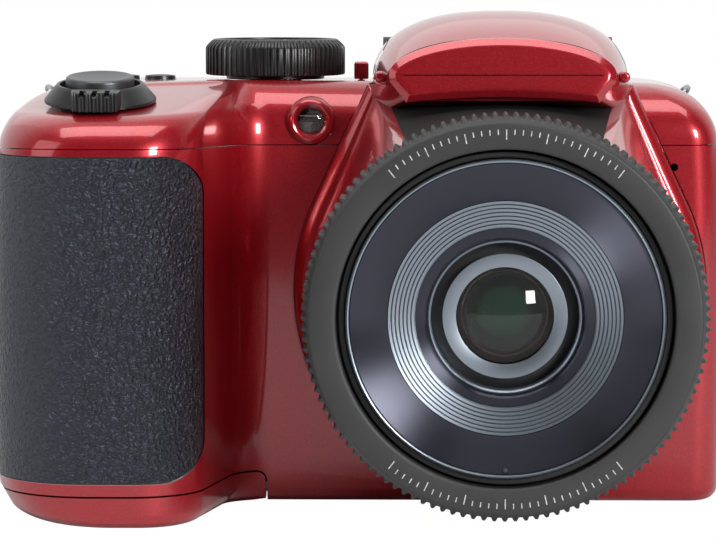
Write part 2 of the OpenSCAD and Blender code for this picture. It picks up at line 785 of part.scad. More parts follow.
// Flash cover: a dome that rises from the brow to a crest and falls to its hinge
function dome_share(y) = y < -dome_crest ? pow((-dome_crest - y) / (dome_front - dome_crest), 2)
    : pow((y + dome_crest) / (flash_hinge_y + dome_crest), 2);
function dome_half_at(y) =
    dome_half - dome_share(y) * (dome_half - (y < -dome_crest ? dome_front_half : dome_tail_half));
function dome_top_at(y) =
    let (fall_front = dome_rise - dome_front_rise)
    let (fall_tail = deck_z + dome_rise - flash_hinge_z - flash_tail_r)
    deck_z + dome_rise - dome_share(y) * (y < -dome_crest ? fall_front : fall_tail);
module dome_slice(y, d) {
    rise = dome_top_at(y) - d - flash_base_z;
    upright_slice(y, arch(dome_half_at(y) - d, rise, flash_base_z, dome_power, 14), slice);
}
module dome_form(d, first, last, steps) {
    for (i = [0:steps - 1]) hull() {
        dome_slice(first + (last - first) * i / steps, d);
        dome_slice(first + (last - first) * (i + 1) / steps, d);
    }
}
module flash_bar(r, half) {
    translate([-half, flash_hinge_y, flash_hinge_z]) rotate([0, 90, 0]) cylinder(r = r, h = 2 * half);
}
module flash_cover() {
    color(red) difference() {
        union() {
            dome_form(0, -dome_front, flash_hinge_y - slice, 10);
            flash_bar(flash_tail_r, dome_tail_half);
        }
        translate([0, 0, -0.01]) dome_form(dome_wall, -dome_front - slice, flash_hinge_y - slice, 10);
        flash_bar(flash_tail_r - dome_wall, dome_tail_half + 1);
        box([-far, -far, 0], [far, far, flash_base_z + slice]);
        box([-dome_tail_half + dome_wall, 0, 0],
            [dome_tail_half - dome_wall, flash_hinge_y + 1, flash_hinge_z]);
        for (side = [-1, 1])
            box([side > 0 ? dome_tail_half : -far, flash_hinge_y - flash_tail_r - 0.6, 0],
                [side > 0 ? far : -dome_tail_half, far, far]);
    }
}

// Floor of the flash head with its hinge barrel
module flash_frame() {
    front_half = dome_front_half - dome_wall - 0.5;
    color(black) difference() {
        union() {
            translate([0, 0, head_floor_z]) linear_extrude(frame_t) polygon([
                [-front_half, -dome_front + 0.4], [front_half, -dome_front + 0.4],
                [dome_half - dome_wall - 0.8, -dome_crest], [dome_tail_half - dome_wall - 0.4, 0],
                [dome_tail_half - dome_wall - 0.4, flash_hinge_y - 2.4],
                [-(dome_tail_half - dome_wall - 0.4), flash_hinge_y - 2.4],
                [-(dome_tail_half - dome_wall - 0.4), 0], [-(dome_half - dome_wall - 0.8), -dome_crest]]);
            flash_bar(flash_tail_r - dome_wall - 0.1, dome_tail_half);
            box([-dome_tail_half + dome_wall + 0.4, flash_hinge_y - 3.4, head_floor_z],
                [dome_tail_half - dome_wall - 0.4, flash_hinge_y - 0.9, flash_hinge_z]);
        }
        flash_bar(flash_pin_r + pin_fit, far);
    }
}
module flash_reflector() {
    half = flash_window_half - 0.5;
    color(steel) difference() {
        box([-half, -dome_front + 2.4, head_top_z], [half, -dome_front + 9, head_top_z + flash_window_h]);
        translate([-far / 2, -dome_front + 2.4, head_top_z + flash_window_h / 2]) rotate([0, 90, 0])
            cylinder(r = flash_window_h / 2 - 0.4, h = far);
    }
}
module flash_window() {
    half = flash_window_half;
    color(glass) difference() {
        box([-half, -dome_front + 0.5, head_top_z], [half, -dome_front + 2.3, head_top_z + flash_window_h]);
        for (i = [-5:5])
            box([2 * i - 0.3, -dome_front, head_top_z + 0.5],
                [2 * i + 0.3, -dome_front + 0.8, head_top_z + flash_window_h - 0.5]);
    }
}
module flash_brackets() {
    color(black) difference() {
        for (side = [-1, 1]) {
            x0 = side > 0 ? bracket_inner : -bracket_inner - flash_bracket_t;
            translate([x0, flash_hinge_y, flash_hinge_z]) rotate([0, 90, 0])
                cylinder(r = bracket_r, h = flash_bracket_t);
            box([x0, flash_hinge_y - bracket_r, deck_z],
                [x0 + flash_bracket_t, flash_hinge_y + bracket_r, flash_hinge_z]);
        }
        flash_bar(flash_pin_r, far);
    }
}
module flash_hinge_pin() { color(steel) flash_bar(flash_pin_r, bracket_inner + flash_bracket_t); }

// Switch that frees the flash, in a slot beside the hump
module flash_switch_space() {
    box([switch_x + 0.6, -1, deck_z - 5], [switch_x + 1.8, 4.6 + flash_switch_travel, deck_z + 1]);
}
module flash_switch() {
    color(red) {
        box([switch_x, 0, deck_z + 0.3], [switch_x + 2.4, 4, deck_z + 3.2]);
        box([switch_x + 0.9, 0, deck_z - wall - 0.5], [switch_x + 1.5, 4, deck_z + 0.3]);
        box([switch_x - 0.6, 0, deck_z - wall - 1.3], [switch_x + 3, 4, deck_z - wall - 0.3]);
    }
}

// Lens ring: a toothed ring round the front of the lens tube
function toothed(r, depth, count) =
    [for (i = [0:count - 1], s = [[-0.5, 1], [-0.22, 1], [-0.1, 0], [0.38, 0]])
        let (a = 360 / count * (i + s[0])) (r - depth * s[1]) * [cos(a), sin(a)]];
module lens_ring() {
    color(dark_grey) on_lens() difference() {
        union() {
            translate([0, 0, ring_back]) linear_extrude(ring_depth - ring_flange)
                polygon(toothed(ring_r, ring_tooth, ring_teeth));
            translate([0, 0, ring_front - ring_flange])
                cylinder(r1 = ring_r - ring_tooth, r2 = ring_r - ring_tooth - 0.7, h = ring_flange);
        }
        disc(ring_inner_r, ring_back - 1, ring_front + 1);
        disc(tube_r + pin_fit, ring_back - 1, tube_front + 0.2);
    }
}

// Fixed lens tube with a rear flange and three posts to the lens base
module lens_tube() {
    color(black) on_lens() {
        tube(tube_r, tube_inner_r, tube_back, tube_front);
        difference() {
            tube(plate_r, tube_r - 0.4, tube_back, tube_back + 2);
            box([-plate_r, flange_flat, tube_back - 1], [plate_r, plate_r, tube_back + 3]);
        }
        for (a = [20, 220, 320])
            rotate(a) translate([post_circle, 0, 0]) disc(post_r, base_front, tube_back + 1);
    }
}

// Gear outline with slim, straight-flanked teeth that leave backlash
function gear(teeth) = let (p = 360 / teeth) let (r = gear_module * teeth / 2)
    [for (i = [0:teeth - 1], s = [[-0.33, -1.2], [-0.12, 0.9], [0.12, 0.9], [0.33, -1.2]])
        let (a = p * (i + s[0])) (r + gear_module * s[1]) * [cos(a), sin(a)]];

// Cam ring: turns inside the tube and carries the ring gear behind it
module cam_ring() {
    color(mid_grey) on_lens() difference() {
        union() {
            disc(tube_inner_r - barrel_fit, gear_back, cam_front);
            translate([0, 0, gear_back]) linear_extrude(gear_w) polygon(gear(cam_teeth));
        }
        disc(cam_bore_r, 0, far);
        for (a = [0, 120, 240]) rotate(a) translate([tube_inner_r, 0, cam_front - 5]) rotate([0, 90, 0])
            cylinder(r = 1, h = 8, center = true);
    }
}
module zoom_pinion() {
    color(brass) on_lens() translate([pinion_place[0], pinion_place[1], 0]) {
        translate([0, 0, gear_back]) rotate(pinion_angle + 180)
            linear_extrude(gear_w) polygon(gear(pinion_teeth));
        disc(pinion_shaft_r, base_back + 0.1, gear_front + 0.3);
    }
}
module zoom_motor() {
    color(steel) on_lens() translate([pinion_place[0], pinion_place[1], 0])
        disc(motor_r, base_back - motor_len, base_back);
}

// Barrels of the telescope
module mid_barrel() {
    color(black) on_lens() {
        tube(mid_r, mid_r - mid_wall, mid_back, mid_front);
        tube(mid_r - 0.3, zoom_lens_r + barrel_fit, mid_back, mid_back + 3);
    }
}
module zoom_lens() {
    color(glass) on_lens() {
        disc(zoom_lens_r, mid_back, mid_back + 3);
        disc(zoom_lens_r - 2, mid_back - 0.6, mid_back + 3.6);
    }
}
module front_barrel() {
    color(dark_grey) on_lens() difference() {
        turned([[front_r - front_wall, barrel_back], [front_r, barrel_back], [front_r, barrel_front - 0.4],
            [front_r - 0.4, barrel_front], [front_r - front_wall, barrel_front]]);
        for (a = [60, 180, 300]) rotate(a) translate([front_r, 0, barrel_back + 3]) rotate([0, 90, 0])
            cylinder(r = 1, h = 4, center = true);
    }
}

// Front cone: glossy spun rim, fine grooves, and a bore that holds the front lens
module front_cone() {
    rim_r = front_r - front_wall - pin_fit;
    groove_front = barrel_front - cone_slope;
    steps = [for (i = [0:groove_count - 1], s = [[0, 0], [0.5, 0.35], [0.55, 0]])
        [groove_outer_r - groove_step * (i + s[0]), groove_front - 0.25 * i + s[1] * 0.25]];
    groove_end = groove_front - 0.25 * groove_count;
    color(dark_grey) on_lens() turned(concat(
        [[rim_r, barrel_front - 3], [rim_r, barrel_front - 0.1]], steps,
        [[groove_inner_r, groove_end], [cone_bore_r + 0.3, groove_end - 0.2],
            [cone_bore_r, groove_end - 0.6], [cone_bore_r, cone_back + 2],
            [lens_seat_r, cone_back + 2], [lens_seat_r, cone_back],
            [cone_bore_r + cone_wall, cone_back], [cone_bore_r + cone_wall, groove_end - 2.4],
            [rim_r - 1.5, barrel_front - 3]]));
}
module inner_ring() {
    r = cone_bore_r - pin_fit;
    color(steel) on_lens() turned([[r - 0.7, silver_front - 3], [r, silver_front - 3],
        [r, barrel_front - 4.2], [r - 0.4, barrel_front - 3.9], [r - 0.7, barrel_front - 4.2]]);
}
module silver_ring() {
    color(steel) on_lens() turned([[glass_r, silver_front - 1.2], [cone_bore_r - 0.8, silver_front - 3],
        [cone_bore_r - 0.8, silver_front - 1.6], [silver_r, silver_front - 0.5], [silver_r, silver_front],
        [glass_r, silver_front - 0.4]]);
}
module front_lens() {
    lens_back = cone_back + 2;
    lens_front = silver_front - 3;
    dome_r = 16;
    color(glass) on_lens() {
        intersection() {
            translate([0, 0, silver_front - 1 - dome_r]) sphere(dome_r, $fn = 64);
            disc(glass_r - 0.1, lens_back, silver_front);
        }
        disc(cone_bore_r - 0.9, lens_back + seat, lens_front - 0.3);
    }
}

// Focus group: a carriage on two rods behind the cam ring
module focus_rods() {
    color(steel) on_lens() for (x = [-1, 1])
        translate([x * rod_circle, 0, 0]) disc(rod_r, base_front, cam_front - 3);
}
module focus_carriage() {
    color(black) on_lens() difference() {
        union() {
            disc(focus_r + 2, carriage_back, carriage_back + carriage_t);
            translate([0, 0, carriage_back]) linear_extrude(carriage_t)
                square([2 * rod_circle, 4], center = true);
            for (x = [-1, 1]) translate([x * rod_circle, 0, 0])
                disc(rod_r + 1.4, carriage_back, carriage_back + carriage_t);
        }
        disc(focus_r + pin_fit, 0, far);
        for (x = [-1, 1]) translate([x * rod_circle, 0, 0]) disc(rod_r + pin_fit, 0, far);
    }
}
module focus_lens() {
    color(glass) on_lens() {
        disc(focus_r, carriage_back, carriage_back + carriage_t);
        disc(focus_r - 2, carriage_back - 0.5, carriage_back + carriage_t + 0.5);
    }
}

// Lens base: the plate that closes the lens unit, with the motor's lug and the board's posts
module lens_base() {
    color(dark_grey) on_lens() difference() {
        union() {
            intersection() {
                disc(plate_r, base_back, base_front);
                translate([-far, -lens_z + tripod_depth + 4, 0]) cube([2 * far, far, far]);
            }
            for (p = board_posts) translate(p) disc(1.6, -main_board_y, base_back + 1);
            intersection() {
                translate([pinion_place[0], pinion_place[1], 0]) disc(motor_r + 1, base_back, base_front);
                translate([-far, -far, 0]) cube([2 * far, far + seam_z + 6 - lens_z, far]);
            }
        }
        disc(9, 0, far);
        translate([pinion_place[0], pinion_place[1], 0]) disc(pinion_shaft_r + pin_fit, 0, far);
    }
}
module image_sensor() {
    color(mid_grey) on_lens() {
        translate([0, 0, base_back - 1.8]) linear_extrude(1.8) square([18.6, 14], center = true);
        translate([0, 0, base_back - 1.8]) linear_extrude(2.4) square([8, 6], center = true);
    }
}

// Shutter group on the tilted top of the grip: fixed sleeve, zoom lever round it, button inside it
module shutter_sleeve() {
    color(black) on_slope() difference() {
        union() {
            disc(sleeve_r, -wall - 2.6, lever_h - 1);
            disc(sleeve_r + 0.9, -wall - 2.6, -wall - 0.5);
        }
        disc(shutter_r + button_fit, -wall - 1.6, far);
    }
}
module zoom_lever() {
    top_r = lever_r - 1.4;
    color(dark_grey) on_slope() difference() {
        union() {
            turned([[sleeve_r + button_fit, lever_gap], [lever_r, lever_gap], [lever_r, lever_gap + 0.6],
                [top_r, lever_h], [sleeve_r + button_fit, lever_h]]);
            difference() {
                translate([0, 0, lever_gap]) linear_extrude(lever_h - lever_gap + 0.3)
                    polygon([[-tab_w / 2, -lever_r + 2], [-tab_w / 2 + 0.8, -lever_r - tab_reach],
                        [tab_w / 2 - 0.8, -lever_r - tab_reach], [tab_w / 2, -lever_r + 2]]);
                disc(sleeve_r + 0.7, -far, far);
            }
        }
        for (i = [-1:1]) translate([i * tab_w / 4, 0, lever_h - 0.5])
            box([-0.35, -lever_r - tab_reach - 1, 0], [0.35, -lever_r + 0.4, 2]);
        for (i = [-2:2]) translate([i * tab_w / 6, -lever_r - tab_reach - 0.2, lever_gap])
            disc(0.5, -1, lever_h);
    }
}
module shutter_button() {
    color(mid_grey) on_slope() difference() {
        turned([[0, -wall - 0.2], [shutter_r, -wall - 0.2], [shutter_r, cap_h - 0.5],
            [shutter_r - 0.6, cap_h], [0, cap_h]]);
        translate([0, 0, cap_h + 24.6]) sphere(25);
    }
}

// Mode dial with its shaft, in a bushing through the deck
module mode_dial() {
    color(dark_grey) translate([-dial_x, dial_y, deck_z]) difference() {
        union() {
            translate([0, 0, button_gap]) linear_extrude(dial_h - 1.1 - button_gap)
                polygon(toothed(dial_r, 0.4, dial_ribs));
            translate([0, 0, dial_h - 1.1]) cylinder(r1 = dial_r - 0.4, r2 = dial_r - 1.5, h = 1.1);
            disc(dial_shaft_r, -6, 1);
        }
        disc(dial_r - 2.4, dial_h - 0.4, far);
    }
}
module dial_bushing() {
    color(black) translate([-dial_x, dial_y, deck_z]) difference() {
        union() {
            disc(dial_shaft_r + 1.4, -wall - 2, -0.1);
            disc(dial_shaft_r + 3, -wall - 2, -wall - seat);
        }
        disc(dial_shaft_r + pin_fit, -far, far);
    }
}

// A press button with a retaining foot under the cover
module press_button(r, proud) {
    turned([[0, -wall - foot_gap - foot_t], [r + 0.8, -wall - foot_gap - foot_t],
        [r + 0.8, -wall - foot_gap], [r, -wall - foot_gap], [r, proud - 0.3], [r - 0.3, proud],
        [0, proud - 0.15]]);
}
module power_button() {
    color(dark_grey) translate([power_place[0], power_place[1], deck_z]) press_button(power_r, power_proud);
}
module burst_button() {
    color(dark_grey) translate([burst_place[0], burst_place[1], deck_z]) press_button(burst_r, burst_proud);
}
module focus_lamp() {
    color(glass) translate([lamp_place[0], -body_front, lamp_place[1]]) rotate([90, 0, 0]) {
        disc(lamp_r, -lamp_back, 0.6);
        disc(lamp_r + lamp_flange, -lamp_back, -wall - seat);
    }
}

// Rear face: screen, pad and buttons
module screen_window() {
    color(glass) on_rear(screen_place[0], screen_place[1])
        rounded_plate(screen_w, screen_h, 2, -wall - 0.1, 0.4);
}
module screen_panel() {
    color(mid_grey) on_rear(screen_place[0], screen_place[1]) translate([0, 0, -wall - 3.1])
        linear_extrude(2.9) square([screen_w + 2, screen_h + 2], center = true);
}
module rear_key(place) { color(dark_grey) on_rear(place[0], place[1]) press_button(key_r, key_proud); }
module movie_button() { rear_key(movie_place); }
module menu_button() { rear_key(menu_place); }
module play_button() { rear_key(play_place); }
module four_way_pad() {
    color(dark_grey) on_rear(pad_place[0], pad_place[1]) turned([[set_r + button_gap, -wall], [pad_r, -wall],
        [pad_r, 0.2], [pad_r - 0.6, 0.8], [set_r + button_gap + 0.8, 0.5], [set_r + button_gap, 0.2]]);
}
module set_button() {
    color(dark_grey) on_rear(pad_place[0], pad_place[1]) turned([[0, -wall - 0.6],
        [set_r, -wall - 0.6], [set_r, 0.3], [set_r - 0.4, 0.7], [0, 0.6]]);
}

// Boards: the main board on the posts of the lens base, the key board behind the rear buttons
module main_board() {
    low = door_z + 5;
    color(board_green) {
        box([-32, main_board_y, low], [body_right - wall - 2, main_board_y + pcb_t, seam_z - 2]);
        for (x = [-20, 4]) box([x, main_board_y + pcb_t, 26], [x + 14, main_board_y + pcb_t + 1.6, 40]);
    }
}
module key_board() {
    color(board_green) {
        box([pad_place[0] - pad_r - 6, key_board_y - pcb_t, 8],
            [movie_place[0] + key_r + 1, key_board_y, seam_z - 2]);
        for (p = [movie_place, menu_place, play_place, pad_place])
            translate([p[0], key_board_y, p[1]]) rotate([-90, 0, 0]) disc(1.5, 0, 0.2);
        for (p = key_posts)
            translate([p[0], key_board_y, p[1]]) rotate([-90, 0, 0])
                disc(1.4, -0.5, body_rear - wall - seat - key_board_y);
    }
}

// Power: holder with four cells, contacts, card slot and flash capacitor
module battery_holder() {
    color(black) difference() {
        union() {
            for (p = cell_places) translate([p[0], p[1], 0])
                disc(cell_r + cell_gap + holder_t, holder_low_z, holder_top_z);
            box([cell_places[0][0], cell_places[0][1], holder_low_z],
                [cell_places[3][0], cell_places[3][1], holder_top_z]);
        }
        for (p = cell_places) translate([p[0], p[1], 0]) disc(cell_r + cell_gap, 0, far);
    }
}
module battery_cells() {
    color(mid_grey) for (p = cell_places) translate([p[0], p[1], 0]) {
        disc(cell_r, cell_low_z, cell_low_z + cell_len - 1.4);
        disc(2.6, cell_low_z + cell_len - 1.5, cell_low_z + cell_len - 0.2);
    }
}
module cell_contacts() {
    z = cell_low_z + cell_len - 0.1;
    color(brass) for (j = [0, 1])
        box([cell_places[0][0] - contact_end, cell_places[j][1] - contact_front, z],
            [cell_places[3][0] + contact_end, cell_places[j][1] + contact_back, z + contact_t]);
}
module card_slot() {
    color(steel) difference() {
        box([cell_mid_x - card_half_w, card_y, holder_low_z + 1],
            [cell_mid_x + card_half_w, card_y + card_t, holder_low_z + 1 + card_len]);
        box([cell_mid_x - card_half_w + 2, card_y + card_wall, 0],
            [cell_mid_x + card_half_w - 2, card_y + card_t - card_wall, holder_low_z + card_len - 1]);
    }
}
module flash_capacitor() {
    color(black) translate([cell_mid_x, capacitor_y, 0])
        disc(capacitor_r, capacitor_low_z, capacitor_low_z + capacitor_len);
}

// Side port: a flap over the USB socket
module usb_socket() {
    color(steel) difference() {
        box([socket_mouth_x - socket_depth, main_board_y - seat - socket_w, port_mid[1] - socket_h / 2],
            [socket_mouth_x, main_board_y - seat, port_mid[1] + socket_h / 2]);
        box([socket_mouth_x - socket_depth + socket_t, main_board_y - seat - socket_w + socket_t,
                port_mid[1] - socket_h / 2 + socket_t],
            [far, main_board_y - seat - socket_t, port_mid[1] + socket_h / 2 - socket_t]);
    }
}
module port_cover() {
    color(black) translate([port_x - port_t, port_mid[0], port_mid[1]]) rotate([0, 90, 0])
        rounded_plate(port_high[1] - port_low[1], port_high[0] - port_low[0], 0.5, 0, port_t);
}

// Tripod nut in the base: a brass insert with a blind bore
module tripod_nut() {
    color(brass) difference() {
        union() {
            disc(5, 0, tripod_depth + 1.5);
            disc(6.5, wall + seat, wall + 1.3);
        }
        disc(tripod_r, -1, tripod_depth);
    }
}

front_cover();
rear_cover();
top_cover();
grip_rubber();
thumb_rest();
battery_door();
battery_latch();
door_hinge_leaf();
door_hinge_base();
door_hinge_pin();
flash_cover();
flash_frame();
flash_reflector();
flash_window();
flash_brackets();
flash_hinge_pin();
flash_switch();
lens_ring();
lens_tube();
cam_ring();
zoom_pinion();
zoom_motor();
mid_barrel();
zoom_lens();
front_barrel();
front_cone();
inner_ring();
silver_ring();
front_lens();
focus_rods();
focus_carriage();
focus_lens();
lens_base();
image_sensor();
zoom_lever();
shutter_sleeve();
shutter_button();
mode_dial();
dial_bushing();
power_button();
burst_button();
focus_lamp();
screen_window();
screen_panel();
movie_button();
menu_button();
play_button();
four_way_pad();
set_button();
main_board();
key_board();
battery_holder();
battery_cells();
cell_contacts();
card_slot();
flash_capacitor();
usb_socket();
port_cover();
tripod_nut();
strap_lugs();
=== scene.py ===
import bpy
import numpy as np
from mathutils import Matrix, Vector


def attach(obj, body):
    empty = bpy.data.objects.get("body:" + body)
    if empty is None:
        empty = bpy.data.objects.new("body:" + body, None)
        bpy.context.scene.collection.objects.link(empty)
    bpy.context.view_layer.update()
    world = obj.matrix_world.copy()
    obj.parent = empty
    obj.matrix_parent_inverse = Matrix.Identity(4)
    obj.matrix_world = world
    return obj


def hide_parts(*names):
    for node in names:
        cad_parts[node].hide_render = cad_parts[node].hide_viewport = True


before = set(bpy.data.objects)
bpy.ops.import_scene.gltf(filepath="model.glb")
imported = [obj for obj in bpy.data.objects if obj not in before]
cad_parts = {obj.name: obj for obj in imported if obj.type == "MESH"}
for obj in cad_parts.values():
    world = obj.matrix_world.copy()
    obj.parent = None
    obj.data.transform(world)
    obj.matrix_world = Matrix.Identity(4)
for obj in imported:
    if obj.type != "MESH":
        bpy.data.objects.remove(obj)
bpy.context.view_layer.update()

# Front cover: the red shell of the grip, the front face and the base, moulded in ABS, 1.8 mm
# thick, and lacquered. It is the body's outer form below the top seam and before the rear seam,
# with openings for the battery door, the grip rubber, the lens, the side flap and the microphone.
BODY_LEFT, BODY_RIGHT, BODY_FRONT, BODY_REAR = 81.6, 37.0, 16.0, 20.0
DECK_Z, SEAM_Z, SPLIT_Y, WALL, SEAM_GAP = 69.2, 59.3, 6.0, 1.8, 0.16
SIDE_BULGE, SIDE_DRAFT, SIDE_R, SHOULDER_R = 1.0, 0.4, 5.0, 10.0
EDGE_R, FRONT_EDGE_R, FOOT_R, HEEL_R = 2.5, 9.0, 2.4, 8.0
LIP_RISE, LIP_LEFT_X, LIP_LEFT_RUN, LIP_RIGHT_X, LIP_RIGHT_RUN = 2.2, -60.0, 38.0, -2.0, 18.0
LIP_BACK_Y, LIP_BACK_RUN, NOSE_SEAM_RISE = -5.5, 5.0, 0.8
GRIP_REACH, GRIP_TIP_X, GRIP_ROOT_X = 30.0, 49.5, 43.0
GRIP_OUTER_R, GRIP_INNER_R, VALLEY_R, NOSE_R = 18.0, 12.0, 7.0, 7.0
GRIP_TILT, SLOPE_START, OUTER_SHARE, OUTER_LIMIT, INNER_LIMIT = np.radians(8), 12.0, 0.35, 0.5, 0.4
MID_Z = DECK_Z / 2
NOSE_Y = -BODY_FRONT - GRIP_REACH
NOSE_CENTRE_Y = NOSE_Y + NOSE_R
NOSE_DROP = NOSE_R - (SLOPE_START + NOSE_CENTRE_Y) * np.sin(GRIP_TILT)
NOSE_CENTRE_Z = DECK_Z - NOSE_DROP / np.cos(GRIP_TILT)
DOOR_X, DOOR_Z, DOOR_REAR, DOOR_GAP, DOOR_CORNER = 38.4, 5.3, 12.0, 0.3, 1.4
RUBBER_EDGE_X, RUBBER_LOW_Z, RUBBER_HIGH_Z, RUBBER_CORNER_R = 47.6, 7.3, 58.7, 6.0
RUBBER_T, RUBBER_SINK, RUBBER_BACK = 0.8, 0.02, -5.0
LENS_Z, LENS_HOLE_R, LENS_HOLE_BACK, LENS_HOLE_FRONT = 35.2, 27.6, 8.0, 60.0
CENTRE = (0, 0, LENS_Z)
PORT_LOW, PORT_HIGH, PORT_X, PORT_T = (-8.0, 20.0), (4.0, 44.0), 36.85, 1.6
PORT_GAP, PORT_HOLE_R, PORT_HOLE_DEPTH = 0.25, 0.7, 4.0
MIC_X, MIC_Z, MIC_R, MIC_BACK, FACE_AHEAD = 28.6, 55.6, 0.65, 10.0, 20.0
NUT_HOLE_R, NUT_HOLE_TOP = 5.1, 2.8
FAR, BELOW, LEAST_R, LEAST_SIDE_R, LEAST_STEP, FLAT_INSET = 150.0, -1.0, 0.2, 0.4, 0.05, 0.5
# Frames in which flat outlines and turned profiles are drawn: right, up and outward
UPWARD = np.eye(3)
FORWARD = np.array([[1, 0, 0], [0, 0, 1], [0, -1, 0]], float)
REARWARD = np.array([[1, 0, 0], [0, 0, -1], [0, 1, 0]], float)
RIGHTWARD = np.array([[0, 1, 0], [0, 0, 1], [1, 0, 0]], float)


def unit(vectors):
    """Each vector divided by its length."""
    return vectors / np.linalg.norm(vectors, axis=-1, keepdims=True)


def round_corners(corners, radii, steps):
    """A closed outline with arcs for corners: an arc's centre is on the corner's bisector, at the
    radius divided by the sine of half the corner's angle."""
    corners, radii = np.asarray(corners, float), np.asarray(radii, float)
    before = unit(np.roll(corners, 1, -2) - corners)
    after = unit(np.roll(corners, -1, -2) - corners)
    half = np.arccos(np.clip((before * after).sum(-1), -1, 1)) / 2
    centre = corners + unit(before + after) * (radii / np.sin(half))[..., None]
    start = corners + before * (radii / np.tan(half))[..., None] - centre
    side = before[..., 0] * after[..., 1] - before[..., 1] * after[..., 0]
    turn = -np.sign(side) * (np.pi - 2 * half)
    arcs = []
    for i, count in enumerate(steps):
        angle = turn[..., i, None] * np.linspace(0, 1, count + 1)
        x, y = start[..., i, 0, None], start[..., i, 1, None]
        arc = np.stack([x * np.cos(angle) - y * np.sin(angle), x * np.sin(angle) + y * np.cos(angle)], -1)
        arcs.append(arc + centre[..., i, None, :])
    return np.concatenate(arcs, -2)


def drawn_in(radius, depth):
    """How far a quarter round of this radius has drawn in at a depth into the round."""
    return np.where(depth > 0, radius - np.sqrt(np.clip(radius ** 2 - depth ** 2, 0, None)), 0)


def smooth(share):
    """Zero below zero, one above one, and the smooth cubic between."""
    share = np.clip(share, 0, 1)
    return share ** 2 * (3 - 2 * share)


def body_rings(z, d, inset=0.0):
    """Outlines of the body at the heights z, drawn in by d: right front, right rear, left rear,
    then the grip's nose, its inner corner and the valley beside it, each corner rounded. The sides
    swell at half height, draw in at shoulder, heel and edges, and the nose leans back at the top.
    Left of the hump the deck's front edge rises as a lip."""
    edge_r, foot_r, nose_r = max(EDGE_R - d, LEAST_R), max(FOOT_R - d, LEAST_R), NOSE_R - d
    e = drawn_in(edge_r, z - (DECK_Z - d - edge_r)) + drawn_in(foot_r, d + foot_r - z)
    front_in = drawn_in(FRONT_EDGE_R - d, z - (DECK_Z - FRONT_EDGE_R))
    front = -BODY_FRONT + d + inset + np.maximum(e, front_in)
    e = e + inset
    swell = SIDE_BULGE * ((z - MID_Z) / MID_Z) ** 2 + SIDE_DRAFT * (z - MID_Z) / MID_Z
    side = swell + drawn_in(SHOULDER_R - d, z - (DECK_Z - SHOULDER_R)) + d + e
    right, left = BODY_RIGHT - side, -(BODY_LEFT - side - drawn_in(HEEL_R - d, HEEL_R - z))
    rear = BODY_REAR - d - e
    round_top = NOSE_CENTRE_Z + nose_r * np.cos(GRIP_TILT)
    arc_y = NOSE_CENTRE_Y - np.sqrt(np.clip(nose_r ** 2 - (z - NOSE_CENTRE_Z) ** 2, 0, None))
    slope_y = NOSE_CENTRE_Y - nose_r * np.sin(GRIP_TILT) + (z - round_top) / np.tan(GRIP_TILT)
    nose = np.where(z <= NOSE_CENTRE_Z, NOSE_Y + d, np.where(z <= round_top, arc_y, slope_y))
    nose = np.minimum(np.minimum(nose, -BODY_FRONT + d - LEAST_STEP) + e, front - LEAST_STEP)
    share = (front - nose) / GRIP_REACH
    root = -GRIP_ROOT_X - d - e
    tip = root + (GRIP_ROOT_X - GRIP_TIP_X) * share
    upright = np.maximum(SIDE_R - d - e, LEAST_SIDE_R)
    outer = np.maximum(GRIP_OUTER_R - d - e, 1) * (OUTER_SHARE + (1 - OUTER_SHARE) * share)
    outer = np.minimum(outer, OUTER_LIMIT * (tip - left))
    inner = np.minimum(np.maximum(GRIP_INNER_R - d - e, 1) * share, INNER_LIMIT * (tip - left))
    valley = (VALLEY_R + d + e) * share
    x = np.stack([right, right, left, left, tip, root], 1)
    y = np.stack([front, rear, rear, nose, nose, front], 1)
    radii = np.stack([upright, upright, upright, outer, inner, valley], 1)
    outline = round_corners(np.stack([x, y], 2), radii, (12, 12, 12, 30, 24, 20))
    x, y = outline[..., 0], outline[..., 1]
    share = smooth((x - LIP_LEFT_X) / LIP_LEFT_RUN) * smooth((LIP_RIGHT_X - x) / LIP_RIGHT_RUN)
    share = share * smooth((LIP_BACK_Y - y) / LIP_BACK_RUN)
    share = share * np.clip((z - SEAM_Z) / (DECK_Z - SEAM_Z), 0, 1)[:, None]
    return np.stack([x, y, z[:, None] + LIP_RISE * share], 2)


def body_form(d):
    """The body's outer form drawn in by d, as rings from its base to its deck. The first and the
    last ring lie a little inside the flat base and deck, so that these shade flat."""
    edge_r, foot_r, nose_r = max(EDGE_R - d, LEAST_R), max(FOOT_R - d, LEAST_R), NOSE_R - d
    turn = np.linspace(0, np.pi / 2, 10)
    foot = d + foot_r * (1 - np.cos(turn))
    side = np.linspace(d + foot_r, NOSE_CENTRE_Z, 18)
    nose = NOSE_CENTRE_Z + nose_r * np.sin(np.linspace(0, np.pi / 2 - GRIP_TILT, 16))
    slope = np.linspace(nose[-1], DECK_Z - d - edge_r, 12)
    edge = DECK_Z - d - edge_r * (1 - np.sin(turn))
    z = np.unique(np.round(np.concatenate([foot, side, nose, slope, edge]), 5))
    rings = body_rings(z, d)
    base, deck = body_rings(z[:1], d, FLAT_INSET), body_rings(z[-1:], d, FLAT_INSET)
    return loft(np.concatenate([base, rings, deck]))


def grid_faces(rows, columns):
    """Four-sided faces of a grid of points, row after row, closed round its columns."""
    k, i = np.meshgrid(np.arange(rows - 1), np.arange(columns), indexing="ij")
    j = (i + 1) % columns
    low, high = k * columns, (k + 1) * columns
    faces = np.stack([low + i, low + j, high + j, high + i], -1)
    return faces.reshape(-1, 4).tolist()


def loft(rings):
    """A solid through rings that run counter-clockwise seen from the last one, with flat ends."""
    rows, columns = rings.shape[:2]
    ends = [list(range(columns))[::-1], list(range((rows - 1) * columns, rows * columns))]
    return rings.reshape(-1, 3), grid_faces(rows, columns) + ends


